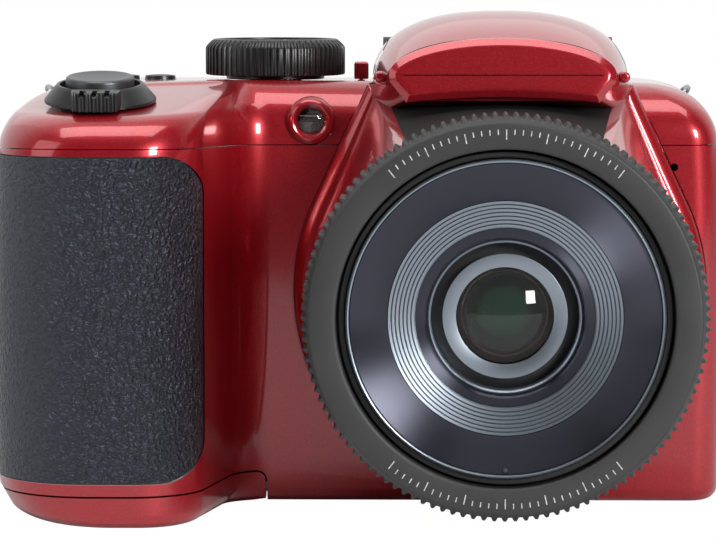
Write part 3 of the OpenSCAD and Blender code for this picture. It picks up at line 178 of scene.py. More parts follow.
def prism(outline, low, high, axes=UPWARD, origin=(0, 0, 0)):
    """A flat outline, counter-clockwise, carried from low to high along the frame's third axis."""
    outline = np.asarray(outline, float)
    ends = [np.column_stack([outline, np.full(len(outline), h)]) for h in (low, high)]
    return loft(np.stack(ends) @ axes + np.asarray(origin, float))


def rectangle(x0, y0, x1, y1, r=0.0):
    """A rectangle between two corners, its own corners rounded by r."""
    corners = [[x0, y0], [x1, y0], [x1, y1], [x0, y1]]
    return round_corners(corners, [r] * 4, [8] * 4) if r else np.array(corners, float)


def circle(r, count=64):
    """Points round a circle about the origin."""
    a = np.linspace(0, 2 * np.pi, count, endpoint=False)
    return r * np.column_stack([np.cos(a), np.sin(a)])


def make_piece(name, form, finish=None, crease=32.0):
    """A mesh object from points in millimetres and faces. Edges turned further than crease, in
    degrees, stay sharp and the rest shade smoothly."""
    points, faces = form
    mesh = bpy.data.meshes.new(name)
    mesh.from_pydata((np.asarray(points, float) / 1000).tolist(), [], faces)
    mesh.validate()
    made = bpy.data.objects.new(name, mesh)
    bpy.context.scene.collection.objects.link(made)
    if finish:
        mesh.materials.append(finish)
    mesh.shade_smooth()
    mesh.set_sharp_from_angle(angle=np.radians(crease))
    return made


def carve(piece, operation, *forms, crease=32.0):
    """Cuts solids out of a piece, or keeps what lies in them, and applies the result."""
    for form in forms:
        tool = form if isinstance(form, bpy.types.Object) else make_piece("tool", form)
        step = piece.modifiers.new("carve", "BOOLEAN")
        step.operation, step.solver, step.object = operation, "MANIFOLD", tool
        bpy.context.view_layer.update()
        graph = bpy.context.evaluated_depsgraph_get()
        carved = bpy.data.meshes.new_from_object(piece.evaluated_get(graph))
        piece.modifiers.clear()
        worn, spent = piece.data, tool.data
        piece.data = carved
        carved.name = piece.name
        bpy.data.objects.remove(tool)
        bpy.data.meshes.remove(worn)
        bpy.data.meshes.remove(spent)
    piece.data.shade_smooth()
    piece.data.set_sharp_from_angle(angle=np.radians(crease))
    return piece


def below_seam(gap):
    """The space below the top seam less a gap. The seam is level and climbs along the grip."""
    low, high = SEAM_Z - gap, SEAM_Z + NOSE_SEAM_RISE - gap
    side = [[-FAR, -FAR], [FAR, -FAR], [FAR, low], [-BODY_FRONT, low], [NOSE_Y, high], [-FAR, high]]
    return prism(side, -FAR, FAR, RIGHTWARD)


def linear(colour):
    """An sRGB hex colour as linear red, green, blue and full alpha."""
    share = np.array([int(colour[i:i + 2], 16) for i in (1, 3, 5)]) / 255
    share = np.where(share <= 0.04045, share / 12.92, ((share + 0.055) / 1.055) ** 2.4)
    return (*share.tolist(), 1.0)


def add(tree, kind, inputs=None, stops=(), **settings):
    """Adds a shader node with its settings, sets or links its inputs by name or number, and gives
    a colour ramp its stops of position and colour."""
    made = tree.nodes.new(kind)
    for i, (position, colour) in enumerate(stops):
        stop = made.color_ramp.elements[i] if i < 2 else made.color_ramp.elements.new(position)
        stop.position, stop.color = position, colour
    for name, value in settings.items():
        setattr(made, name, value)
    for name, value in (inputs or {}).items():
        if isinstance(value, bpy.types.NodeSocket):
            tree.links.new(value, made.inputs[name])
        else:
            made.inputs[name].default_value = value
    return made


def new_finish(name):
    """An empty material, its node tree and the object coordinates of the piece that wears it."""
    made = bpy.data.materials.new(name)
    made.use_nodes = True
    made.node_tree.nodes.clear()
    return made, made.node_tree, add(made.node_tree, "ShaderNodeTexCoord").outputs["Object"]


# Metallic lacquer on ABS: a red coat with fine aluminium flakes under clear varnish. The eye sees
# deep red, salmon where a lamp is mirrored, and a faint glitter. Real flakes of 0.03 mm are drawn
# as 0.16 mm so that they show in the render.
FLAKE = 0.00016
lacquer, tree, place = new_finish("red_metallic_lacquer")
flake = add(tree, "ShaderNodeTexVoronoi", {"Vector": place, "Scale": 1 / FLAKE})
tone = add(tree, "ShaderNodeValToRGB", {"Fac": flake.outputs["Color"]}, [
    (0.0, linear("#8E0A17")), (0.6, linear("#9C101D")), (1.0, linear("#B21D2A"))])
lift = add(tree, "ShaderNodeBump", {
    "Height": flake.outputs["Color"], "Strength": 0.04, "Distance": 0.00005})
shader = add(tree, "ShaderNodeBsdfPrincipled", {
    "Base Color": tone.outputs["Color"], "Metallic": 0.5, "Roughness": 0.34,
    "Normal": lift.outputs["Normal"], "Coat Weight": 1.0, "Coat Roughness": 0.08, "Coat IOR": 1.5})
add(tree, "ShaderNodeOutputMaterial", {"Surface": shader.outputs["BSDF"]})

front_shell = make_piece("front_shell", body_form(0), lacquer)
carve(front_shell, "DIFFERENCE", body_form(WALL))
carve(front_shell, "INTERSECT", prism(rectangle(-FAR, -FAR, FAR, SPLIT_Y - SEAM_GAP), BELOW, FAR),
      below_seam(SEAM_GAP))


def rubber_block(gap):
    """The block that the grip's rubber is cut from, grown by a gap."""
    low, high = RUBBER_LOW_Z - gap, RUBBER_HIGH_Z + gap
    outline = rectangle(-FAR, low, -RUBBER_EDGE_X + gap, high, RUBBER_CORNER_R)
    return prism(outline, RUBBER_BACK - gap, FAR, FORWARD)


window = make_piece("window", rubber_block(SEAM_GAP))
carve(window, "DIFFERENCE", body_form(RUBBER_T + SEAM_GAP))
door_outline = rectangle(-FAR, -FAR, -DOOR_X, DOOR_Z, DOOR_CORNER + DOOR_GAP)
port_outline = rectangle(*np.array(PORT_LOW) - PORT_GAP, *np.array(PORT_HIGH) + PORT_GAP, PORT_HOLE_R)
lens_hole = prism(circle(LENS_HOLE_R, 96), LENS_HOLE_BACK, LENS_HOLE_FRONT, FORWARD, CENTRE)
carve(front_shell, "DIFFERENCE", window, prism(door_outline, -DOOR_REAR, FAR, FORWARD), lens_hole,
      prism(port_outline, PORT_X - PORT_T - PORT_HOLE_DEPTH, FAR, RIGHTWARD),
      prism(circle(MIC_R, 24), MIC_BACK, FACE_AHEAD, FORWARD, (MIC_X, 0, MIC_Z)),
      prism(circle(NUT_HOLE_R), BELOW, NUT_HOLE_TOP))
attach(front_shell, "camera_body")
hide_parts("front_cover")

# Lens shroud: the red funnel that carries the lens, moulded with the front cover. Its foot is a
# circle with straight flanks up to the hump, edged by a narrow sloping band, and it tapers to a
# round mouth behind the toothed ring.
SHROUD_R, SHROUD_MOUTH_R, SHROUD_MOUTH_Y, HUMP_HALF = 34.0, 29.6, 52.3, 21.8
SHROUD_GAP, SHROUD_BED = 0.22, 15.3
FLANK = np.arctan2(HUMP_HALF, DECK_Z - LENS_Z)


def shroud_reach(a):
    """Distance from the lens axis to the foot's outline at the angle a: the circle's radius, and
    along its tangents the radius divided by the cosine of the angle from the tangent point."""
    off = np.abs(np.pi / 2 - a)
    off = np.minimum(off, 2 * np.pi - off)
    level = SHROUD_R / np.cos(np.minimum(off, FLANK))
    flank = SHROUD_R / np.cos(np.clip(2 * FLANK - off, 0, FLANK))
    return np.where(off < FLANK, level, flank)


def polar(reach, a, height):
    """Points at the distances reach and the angles a round an axis, at heights along it."""
    x, y = reach * np.cos(a), reach * np.sin(a)
    return np.stack([x, y, np.broadcast_to(height, x.shape)], -1)


around = np.unique(np.concatenate([np.linspace(0, 2 * np.pi, 288, endpoint=False),
                                   np.pi / 2 + np.array([-1, 1]) * FLANK]))
foot_reach = shroud_reach(around)[None, :]
band = np.array([[12, 0], [16.2, 0], [16.6, 0.1], [17.1, 0.5], [17.6, 1.4], [17.75, 1.75], [17.8, 2.1]])
taper = np.linspace(0, 1, 20)[1:]
lip = np.array([[52.6, 29.5], [52.85, 29.3], [53, 28.9], [53, 27.9], [52.9, 27.6], [44, 27.6]])
reach = np.concatenate([foot_reach - band[:, 1:], foot_reach * 0 + lip[:, 1:]])
ahead = np.concatenate([band[:, 0], lip[:, 0]])
slope = (foot_reach - band[-1, 1]) * (1 - taper[:, None]) + SHROUD_MOUTH_R * taper[:, None]
reach = np.insert(reach, len(band), slope, 0)
ahead = np.insert(ahead, len(band), band[-1, 0] + (SHROUD_MOUTH_Y - band[-1, 0]) * taper)
rings = polar(reach, around, ahead[:, None]) @ FORWARD + CENTRE
form = rings.reshape(-1, 3), grid_faces(*rings.shape[:2])
lens_shroud = make_piece("lens_shroud", form, lacquer, 24)
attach(lens_shroud, "camera_body")
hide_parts("front_cover")
bed_outline = polar(foot_reach[0] + SHROUD_GAP, around, 0)[:, :2]
shroud_bed = prism(bed_outline, SHROUD_BED, LENS_HOLE_FRONT, FORWARD, CENTRE)
carve(front_shell, "DIFFERENCE", shroud_bed)

# Painted shade: a thin dead-black plate on top of the shroud, under the brow, where the brow casts
# its shade. It follows the funnel and lies on it.
PLATE_LIFT, PLATE_SINK, PLATE_HALF = 0.14, -0.3, np.radians(30)


def mottled(name, density, detail, inputs, tones=(), gloss=()):
    """A finish with noise of so many features in a metre. The noise runs through the tones, each a
    position and a colour, and from the first to the second roughness, where these are given."""
    made, tree, place = new_finish(name)
    noise = add(tree, "ShaderNodeTexNoise", {"Vector": place, "Scale": density, "Detail": detail})
    grain, inputs = {"Fac": noise.outputs["Fac"]}, dict(inputs)
    if tones:
        stops = [(position, linear(colour)) for position, colour in tones]
        inputs["Base Color"] = add(tree, "ShaderNodeValToRGB", grain, stops).outputs["Color"]
    if gloss:
        span = {"Value": noise.outputs["Fac"], "To Min": gloss[0], "To Max": gloss[1]}
        inputs["Roughness"] = add(tree, "ShaderNodeMapRange", span).outputs["Result"]
    shader = add(tree, "ShaderNodeBsdfPrincipled", inputs)
    add(tree, "ShaderNodeOutputMaterial", {"Surface": shader.outputs["BSDF"]})
    return made


plate_turn = np.pi / 2 + np.linspace(-1, 1, 61) * PLATE_HALF
plate_share = np.linspace(0.0, 0.99, 20)[:, None]
plate_reach = (shroud_reach(plate_turn) - band[-1, 1]) * (1 - plate_share) + SHROUD_MOUTH_R * plate_share
plate_ahead = band[-1, 0] + (SHROUD_MOUTH_Y - band[-1, 0]) * plate_share
sheets = [polar(plate_reach + h, plate_turn, plate_ahead) for h in (PLATE_LIFT, PLATE_SINK)]
rings = np.concatenate([sheets[0], sheets[1][:, ::-1]], 1) @ FORWARD + CENTRE
# The black of this sheet is painted shade, not a finish of the camera.
painted_shade_black = mottled("painted_shade_black_sheet", 5000.0, 2.0, {"Roughness": 0.75, "IOR": 1.4},
                      [(0.3, "#060606"), (0.8, "#101011")])
# A piece that carries painted shade under the brow.
painted_shade_plate = make_piece("painted_shade_plate", loft(rings), painted_shade_black)
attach(painted_shade_plate, "camera_body")

# Rear cover: the back half of the red shell, screwed to the front cover along the side seam. It
# has the openings for the screen, the four-way pad and the three keys, and a bed for the thumb rest.
SCREEN_X, SCREEN_Z, SCREEN_W, SCREEN_H = -1.5, 32.0, 66.0, 49.0
PAD_X, PAD_Z, PAD_R = -59.0, 26.0, 9.5
KEYS = {"movie_button": (-43.0, 52.0), "menu_button": (-43.0, 40.0), "play_button": (-43.0, 14.0)}
KEY_R, BUTTON_GAP = 3.0, 0.3
THUMB_LEFT, THUMB_LOW, THUMB_RIGHT, THUMB_HIGH, THUMB_R = -77.0, 42.0, -48.0, 56.0, 4.0
FIT_GAP, CUT_FROM, CUT_TO, SCREEN_R, THUMB_DEPTH = 0.1, 10.0, 30.0, 2.0, 1.0
rear_shell = make_piece("rear_shell", body_form(0), lacquer)
carve(rear_shell, "DIFFERENCE", body_form(WALL))
carve(rear_shell, "INTERSECT", prism(rectangle(-FAR, SPLIT_Y, FAR, FAR), BELOW, FAR), below_seam(SEAM_GAP))
half_w, half_h = SCREEN_W / 2 + FIT_GAP, SCREEN_H / 2 + FIT_GAP
thumb_outline = rectangle(THUMB_LEFT - FIT_GAP, -THUMB_HIGH - FIT_GAP,
                          THUMB_RIGHT + FIT_GAP, -THUMB_LOW + FIT_GAP, THUMB_R)
carve(rear_shell, "DIFFERENCE", prism(rectangle(-FAR, -FAR, -DOOR_X, DOOR_REAR), BELOW, DOOR_Z),
      prism(rectangle(-half_w, -half_h, half_w, half_h, SCREEN_R), CUT_FROM, CUT_TO, REARWARD,
            (SCREEN_X, 0, SCREEN_Z)),
      prism(circle(PAD_R + BUTTON_GAP + FIT_GAP), CUT_FROM, CUT_TO, REARWARD, (PAD_X, 0, PAD_Z)),
      *[prism(circle(KEY_R + BUTTON_GAP), CUT_FROM, CUT_TO, REARWARD, (x, 0, z)) for x, z in KEYS.values()],
      prism(thumb_outline, BODY_REAR - THUMB_DEPTH, CUT_TO, REARWARD))
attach(rear_shell, "camera_body")
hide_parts("rear_cover")

# Top cover: the red deck with its shoulders and the grip's tilted top, clipped on above the seam.
# It is bored for the dial, the shutter group, two buttons and the focus lamp, and slotted for the flash
# switch.
DIAL_X, DIAL_Y, DIAL_HOLE_R = -37.7, 3.0, 4.5
SHUTTER_X, SHUTTER_Y, SHUTTER_HOLE_R = -64.4, -30.0, 6.6
SWITCH_X, SWITCH_Y, SLOT_HALF, SLOT_FRONT_Y, SLOT_REAR_Y = -23.1, 2.0, 0.6, -1.0, 6.6
DECK_CUT = 5.0
POWER_X, POWER_Y, POWER_R = -63.0, -8.5, 3.2
BURST_X, BURST_Y, BURST_R = -57.5, 6.5, 2.6
LAMP_X, LAMP_Z, LAMP_R, BOSS_R, BOSS_BACK = -31.1, 63.2, 2.05, 3.95, 6.0
SLOPING = np.array([[1, 0, 0], [0, np.cos(GRIP_TILT), np.sin(GRIP_TILT)],
                    [0, -np.sin(GRIP_TILT), np.cos(GRIP_TILT)]])
SHUTTER = (SHUTTER_X, SHUTTER_Y, DECK_Z + (SHUTTER_Y + SLOPE_START) * np.tan(GRIP_TILT))
top_shell = make_piece("top_shell", body_form(0), lacquer)
carve(top_shell, "DIFFERENCE", body_form(WALL))
slot_outline = rectangle(SWITCH_X - SLOT_HALF, SLOT_FRONT_Y, SWITCH_X + SLOT_HALF, SLOT_REAR_Y)
carve(top_shell, "DIFFERENCE", below_seam(0), shroud_bed, lens_hole,
      prism(circle(DIAL_HOLE_R), -DECK_CUT, DECK_CUT, UPWARD, (DIAL_X, DIAL_Y, DECK_Z)),
      prism(circle(SHUTTER_HOLE_R), -DECK_CUT, DECK_CUT, SLOPING, SHUTTER),
      prism(circle(POWER_R + BUTTON_GAP), -DECK_CUT, DECK_CUT, UPWARD, (POWER_X, POWER_Y, DECK_Z)),
      prism(circle(BURST_R + BUTTON_GAP), -DECK_CUT, DECK_CUT, UPWARD, (BURST_X, BURST_Y, DECK_Z)),
      prism(slot_outline, DECK_Z - DECK_CUT, DECK_Z + DECK_CUT),
      prism(circle(BOSS_R), BOSS_BACK, FACE_AHEAD, FORWARD, (LAMP_X, 0, LAMP_Z)))
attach(top_shell, "camera_body")
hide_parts("top_cover")

# Brow: the hood over the lens that the flash closes on, moulded with the top cover. A bare panel
# with a bright bevel round it is the front, and cheeks run back from it to the shroud.
BROW_HALF, BROW_FOOT_HALF, BROW_TOP, BROW_SIDE_Z = 18.1, 15.3, 77.2, 71.4
BROW_FOOT_Z, BROW_FOOT_BOW, BROW_CORNER_X, BROW_CORNER_Z = 67.9, 0.9, 17.9, 70.2
BROW_LEAN, BROW_LEAN_Z, CHEEK_BACK, CHEEK_FRONT, CHEEK_STEPS = 0.2, 67.5, 15.0, 33.6, 12


def inset_outline(outline, d):
    """A closed outline moved inward by d along the mean of the normals of its two edges."""
    ahead = unit(np.roll(outline, -1, 0) - outline)
    behind = unit(outline - np.roll(outline, 1, 0))
    mean = unit(ahead + behind)
    inward = np.column_stack([-mean[:, 1], mean[:, 0]])
    return outline + inward * (d / np.clip((mean * ahead).sum(1), 0.5, 1))[:, None]


def stacked(outline, rows):
    """Copies of an outline, one for each row: its height, and how far it is moved inward."""
    level = np.ones(len(outline))
    return np.stack([np.column_stack([inset_outline(outline, d), h * level]) for h, d in rows])


arch = np.linspace(0, np.pi, 49)
lower = np.linspace(-BROW_FOOT_HALF, BROW_FOOT_HALF, 25)
brow_outline = np.concatenate([
    np.column_stack([lower, BROW_FOOT_Z - BROW_FOOT_BOW * (lower / BROW_FOOT_HALF) ** 2]),
    [[BROW_CORNER_X, BROW_CORNER_Z]],
    np.column_stack([BROW_HALF * np.cos(arch), BROW_SIDE_Z + (BROW_TOP - BROW_SIDE_Z) * np.sin(arch)]),
    [[-BROW_CORNER_X, BROW_CORNER_Z]]])
bevel = [(33.0, 0), (36.1, 0), (36.25, 0.05), (36.35, 0.2), (36.85, 0.95), (36.95, 1.15), (37.0, 1.5),
         (37.0, 2.4)]
rings = stacked(brow_outline, bevel)
rings[..., 2] -= BROW_LEAN * np.clip(rings[..., 1] - BROW_LEAN_Z, 0, None)
brow_panel = make_piece("brow_panel", loft(rings @ FORWARD), lacquer, 24)
cheek_radii, cheek_steps = [1, 1, 0.6, 0.6], [6] * 4
cheek_front = [[-15.2, 67.2], [15.2, 67.2], [18.0, 71.3], [-18.0, 71.3]]
cheek_rear = [[-HUMP_HALF, 63.5], [HUMP_HALF, 63.5], [HUMP_HALF, 69.5], [-HUMP_HALF, 69.5]]
cheek_front = round_corners(cheek_front, cheek_radii, cheek_steps)
cheek_rear = round_corners(cheek_rear, cheek_radii, cheek_steps)
share = np.linspace(0, 1, CHEEK_STEPS)[:, None, None]
ahead = CHEEK_BACK + (CHEEK_FRONT - CHEEK_BACK) * share
ahead = np.broadcast_to(ahead, (CHEEK_STEPS, len(cheek_rear), 1))
rings = np.concatenate([cheek_rear * (1 - share) + cheek_front * share, ahead], 2)
brow_hood = make_piece("brow_hood", loft(rings @ FORWARD), lacquer, 24)
for part in (brow_panel, brow_hood):
    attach(part, "camera_body")
    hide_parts("top_cover")

# Grip rubber: a moulded elastomer skin let flush into the front cover and bonded there, with the
# grain of leather. The eye sees black wrinkled cells about 1 mm wide and 1.6 mm tall with a bluish
# sheen and small bright specks on their crests. Painted shade darkens the creases between the cells,
# and the crests are painted lighter.
GRAIN, CELL_SQUEEZE = 0.001, (1.0, 1.0, 0.62)
grip_skin, tree, place = new_finish("leather_grained_elastomer")
warp = add(tree, "ShaderNodeTexNoise", {"Vector": place, "Scale": 1.1 / GRAIN, "Detail": 3.0})
bent = add(tree, "ShaderNodeVectorMath", {
    0: warp.outputs["Color"], "Scale": 1.6 * GRAIN}, operation="SCALE")
spot = add(tree, "ShaderNodeVectorMath", {0: place, 1: bent.outputs["Vector"]}, operation="ADD")
tall = add(tree, "ShaderNodeVectorMath", {0: spot.outputs["Vector"], 1: CELL_SQUEEZE}, operation="MULTIPLY")
cell = add(tree, "ShaderNodeTexVoronoi", {"Vector": tall.outputs["Vector"], "Scale": 1 / GRAIN},
           feature="DISTANCE_TO_EDGE")
pore = add(tree, "ShaderNodeTexNoise", {"Vector": place, "Scale": 3 / GRAIN, "Detail": 3.0})
crest = add(tree, "ShaderNodeValToRGB", {"Fac": cell.outputs["Distance"]}, [
    (0.0, (0, 0, 0, 1)), (0.1, (0.5, 0.5, 0.5, 1)), (0.4, (1, 1, 1, 1))])
height = add(tree, "ShaderNodeMix", {
    "Factor": 0.45, "A": crest.outputs["Color"], "B": pore.outputs["Fac"]}, data_type="FLOAT")
lift = add(tree, "ShaderNodeBump", {
    "Height": height.outputs["Result"], "Strength": 1.0, "Distance": 0.0006})
# Painted shade: the colour darkens from the crests into the creases between the cells.
tone = add(tree, "ShaderNodeValToRGB", {"Fac": crest.outputs["Color"]}, [
    (0.0, linear("#08080A")), (1.0, linear("#1E1E22"))])
gloss = add(tree, "ShaderNodeMapRange", {"Value": pore.outputs["Fac"], "To Min": 0.16, "To Max": 0.28})
shader = add(tree, "ShaderNodeBsdfPrincipled", {
    "Base Color": tone.outputs["Color"], "Roughness": gloss.outputs["Result"],
    "Normal": lift.outputs["Normal"], "Specular IOR Level": 0.8, "Specular Tint": linear("#CDD6EC"),
    "IOR": 1.5})
add(tree, "ShaderNodeOutputMaterial", {"Surface": shader.outputs["BSDF"]})
grip_rubber = make_piece("grip_skin", body_form(RUBBER_SINK), grip_skin)
carve(grip_rubber, "INTERSECT", rubber_block(0))
carve(grip_rubber, "DIFFERENCE", body_form(RUBBER_T))
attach(grip_rubber, "camera_body")
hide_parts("grip_rubber")

# Thumb rest: the same rubber let into the rear cover, with seven raised bars.
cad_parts["thumb_rest"].material_slots[0].material = grip_skin

# Battery door: the red bottom of the grip, a shell 1.6 mm thick that swings on a steel hinge on
# the side of the lens, with a pocket for its sliding catch.
DOOR_WALL, HINGE_X, HINGE_R = 1.6, -39.7, 1.0
NOTCH_FRONT_Y, NOTCH_REAR_Y, CHAMFER_H, CHAMFER_RUN = -11.9, 9.9, 0.4, 8.8
LATCH_X, LATCH_Y, LATCH_LEFT, LATCH_RIGHT, LATCH_HALF, LATCH_TOP = -62.0, -22.0, 6.75, 4.25, 3.25, 1.55
door_side, door_back, door_top = -DOOR_X - DOOR_GAP, DOOR_REAR - DOOR_GAP, DOOR_Z - DOOR_GAP
door_shell = make_piece("door_shell", body_form(0), lacquer)
carve(door_shell, "INTERSECT", prism(rectangle(-FAR, -FAR, door_side, door_back), BELOW, door_top),
      prism(rectangle(-FAR, -FAR, door_side, door_top, DOOR_CORNER), -FAR, FAR, FORWARD))
hollow = make_piece("hollow", body_form(DOOR_WALL))
hollow_side = HINGE_X - HINGE_R - DOOR_WALL
carve(hollow, "INTERSECT", prism(rectangle(-FAR, -FAR, hollow_side, door_back - DOOR_WALL), BELOW, FAR))
chamfer = [[door_side, CHAMFER_H], [HINGE_X - CHAMFER_RUN, BELOW], [-DOOR_X + 1, BELOW]]
notch = rectangle(HINGE_X - HINGE_R - DOOR_GAP, NOTCH_FRONT_Y, 0, NOTCH_REAR_Y)
pocket = rectangle(LATCH_X - LATCH_LEFT, LATCH_Y - LATCH_HALF, LATCH_X + LATCH_RIGHT, LATCH_Y + LATCH_HALF)
carve(door_shell, "DIFFERENCE", hollow, prism(notch, BELOW, DOOR_Z), prism(pocket, BELOW, LATCH_TOP),
      prism(chamfer, -FAR, FAR, FORWARD))
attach(door_shell, "battery_door")
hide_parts("battery_door")

# Flash dome: the red lid of the pop-up flash. Arched sections rise from the brow to a crest and
# fall to a round tail on the hinge, and the wall is 1.4 mm thick.
DOME_FRONT, DOME_CREST, HINGE_Y, HINGE_Z = -32.6, -10.0, 9.0, 73.2
DOME_BASE, DOME_TOP, DOME_HALF, TAIL_HALF, TAIL_R = 69.6, 81.2, 21.0, 16.2, 3.6
FRONT_HALF, FRONT_TOP, DOME_POWER, DOME_WALL, DOME_SINK, TAIL_GAP = 18.6, 77.1, 2.4, 1.4, 0.5, 0.02
SLIT_HALF, SLIT_BACK, SLIT_FRONT = 0.08, -5.0, 34.6


def dome_rings(y, d):
    """Arches across the flash at the stations y, drawn in by d: half width and top fall from the
    crest with the square of the way to the brow or to the hinge, and each arch is a superellipse."""
    ahead = y < DOME_CREST
    way = (y - DOME_CREST) / np.where(ahead, DOME_FRONT - DOME_CREST, HINGE_Y - DOME_CREST)
    way = way ** 2
    half = DOME_HALF - way * np.where(ahead, DOME_HALF - FRONT_HALF, DOME_HALF - TAIL_HALF) - d
    top = DOME_TOP - way * np.where(ahead, DOME_TOP - FRONT_TOP, DOME_TOP - HINGE_Z - TAIL_R) - d
    a = np.linspace(0, np.pi, 65)
    x = half[:, None] * np.sign(np.cos(a)) * np.abs(np.cos(a)) ** (2 / DOME_POWER)
    z = DOME_BASE + (top - DOME_BASE)[:, None] * np.abs(np.sin(a)) ** (2 / DOME_POWER)
    return np.stack([x, np.broadcast_to(y[:, None], x.shape), z], 2)


stations = np.linspace(DOME_FRONT, HINGE_Y - TAIL_GAP, 48)
outer = loft(dome_rings(stations, 0)[:, ::-1])
inner = dome_rings(np.linspace(DOME_FRONT - 1, HINGE_Y + 1, 48), DOME_WALL)
inner = loft(inner[:, ::-1] - [0, 0, DOME_SINK])
flash_dome = make_piece("flash_dome", outer, lacquer)
carve(flash_dome, "DIFFERENCE", inner)


def turned(profile, axes=UPWARD, origin=(0, 0, 0), count=96):
    """A profile of radius and height, outer wall upward, carried round the frame's third axis. It
    closes at the axis where it starts and ends there, and otherwise makes a ring."""
    profile = np.asarray(profile, float)
    poles = profile[0, 0] == 0
    rows = profile[1:-1] if poles else np.concatenate([profile, profile[:1]])
    a = np.linspace(0, 2 * np.pi, count, endpoint=False)
    points = polar(rows[:, :1], a, rows[:, 1:]).reshape(-1, 3)
    faces = np.array(grid_faces(len(rows), count))
    if not poles:
        faces = faces % (len(profile) * count)
        points = points[:len(profile) * count]
        return points @ axes + np.asarray(origin, float), faces.tolist()
    n = len(points)
    i = np.arange(count)
    low = np.column_stack([(i + 1) % count, i, np.full(count, n)])
    high = np.column_stack([n - count + i, n - count + (i + 1) % count, np.full(count, n + 1)])
    points = np.concatenate([points, [[0, 0, profile[0, 1]], [0, 0, profile[-1, 1]]]])
    return points @ axes + np.asarray(origin, float), faces.tolist() + low.tolist() + high.tolist()


def softened(profile, r, steps=5):
    """A turned profile with its corners rounded by r. Points on the axis stay sharp."""
    profile = np.asarray(profile, float)
    radii = np.where(profile[:, 0] > 0, r, 1e-4)
    return round_corners(profile, radii, [steps] * len(profile))


def soft_cap(profile, r, steps=5):
    """A profile from axis to axis with every corner between its ends rounded by r."""
    profile = np.asarray(profile, float)
    bent = round_corners(profile, np.full(len(profile), r), [steps] * len(profile))
    return np.concatenate([profile[:1], bent[steps + 1:-steps - 1], profile[-1:]])


# Parting lines of the dome: a slit 0.16 mm wide on each side, where the lid meets its rim
parting = np.array([[-16.2, 80.2], [-18.2, 76.7], [-19.4, 74.4], [-20.4, 72.4], [-21.2, 69.0]])
for side in (1, -1):
    strip = np.concatenate([parting - [SLIT_HALF, 0], (parting + [SLIT_HALF, 0])[::-1]]) * [side, 1]
    carve(flash_dome, "DIFFERENCE", prism(strip[::side], SLIT_BACK, SLIT_FRONT, FORWARD))
tail = soft_cap([[0, -TAIL_HALF], [TAIL_R, -TAIL_HALF], [TAIL_R, TAIL_HALF], [0, TAIL_HALF]], 0.5)
flash_tail = make_piece("flash_tail", turned(tail, RIGHTWARD, (0, HINGE_Y, HINGE_Z), 64), lacquer)
for part in (flash_dome, flash_tail):
    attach(part, "flash_head")
    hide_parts("flash_cover")

# Small black and grey mouldings: ABS from a spark-eroded mould. The eye sees an even satin black
# or dark grey with a fine grit, drawn 0.3 mm wide so that it shows, and a gloss that follows it.
GRIT = 0.0003


def moulded_abs(name, dark, light, roughness):
    """Moulded ABS between two tones, with the grit of its mould as bump and as gloss."""
    made, tree, place = new_finish(name)
    grit = add(tree, "ShaderNodeTexNoise", {"Vector": place, "Scale": 1 / GRIT, "Detail": 4.0})
    cloud = add(tree, "ShaderNodeTexNoise", {"Vector": place, "Scale": 90.0, "Detail": 3.0})
    tone = add(tree, "ShaderNodeValToRGB", {"Fac": cloud.outputs["Fac"]}, [
        (0.3, linear(dark)), (0.7, linear(light))])
    gloss = add(tree, "ShaderNodeMapRange", {
        "Value": grit.outputs["Fac"], "To Min": roughness - 0.1, "To Max": roughness + 0.1})
    lift = add(tree, "ShaderNodeBump", {
        "Height": grit.outputs["Fac"], "Strength": 0.25, "Distance": 0.00006})
    shader = add(tree, "ShaderNodeBsdfPrincipled", {
        "Base Color": tone.outputs["Color"], "Roughness": gloss.outputs["Result"],
        "Normal": lift.outputs["Normal"], "IOR": 1.53})
    add(tree, "ShaderNodeOutputMaterial", {"Surface": shader.outputs["BSDF"]})
    return made


black_abs = moulded_abs("black_moulded_abs", "#0D0D0E", "#151516", 0.45)
dark_abs = moulded_abs("dark_moulded_abs", "#161617", "#1E1E20", 0.36)
grey_abs = moulded_abs("grey_moulded_abs", "#232324", "#2B2B2C", 0.55)

# Flash catches: two small pegs in the notches beside the brow, on which the flash closes. They are
# moulded with the top cover and lacquered.
CATCH_X, CATCH_Y, CATCH_Z = 19.5, -31.0, 70.9
peg = soft_cap([[0, -4.0], [0.9, -4.0], [0.9, 1.2], [0, 1.2]], 0.5)
for side, name in ((-1, "left_catch"), (1, "right_catch")):
    catch = make_piece(name, turned(peg, FORWARD, (side * CATCH_X, CATCH_Y, CATCH_Z), 40), lacquer)
    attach(catch, "camera_body")
    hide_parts("top_cover")

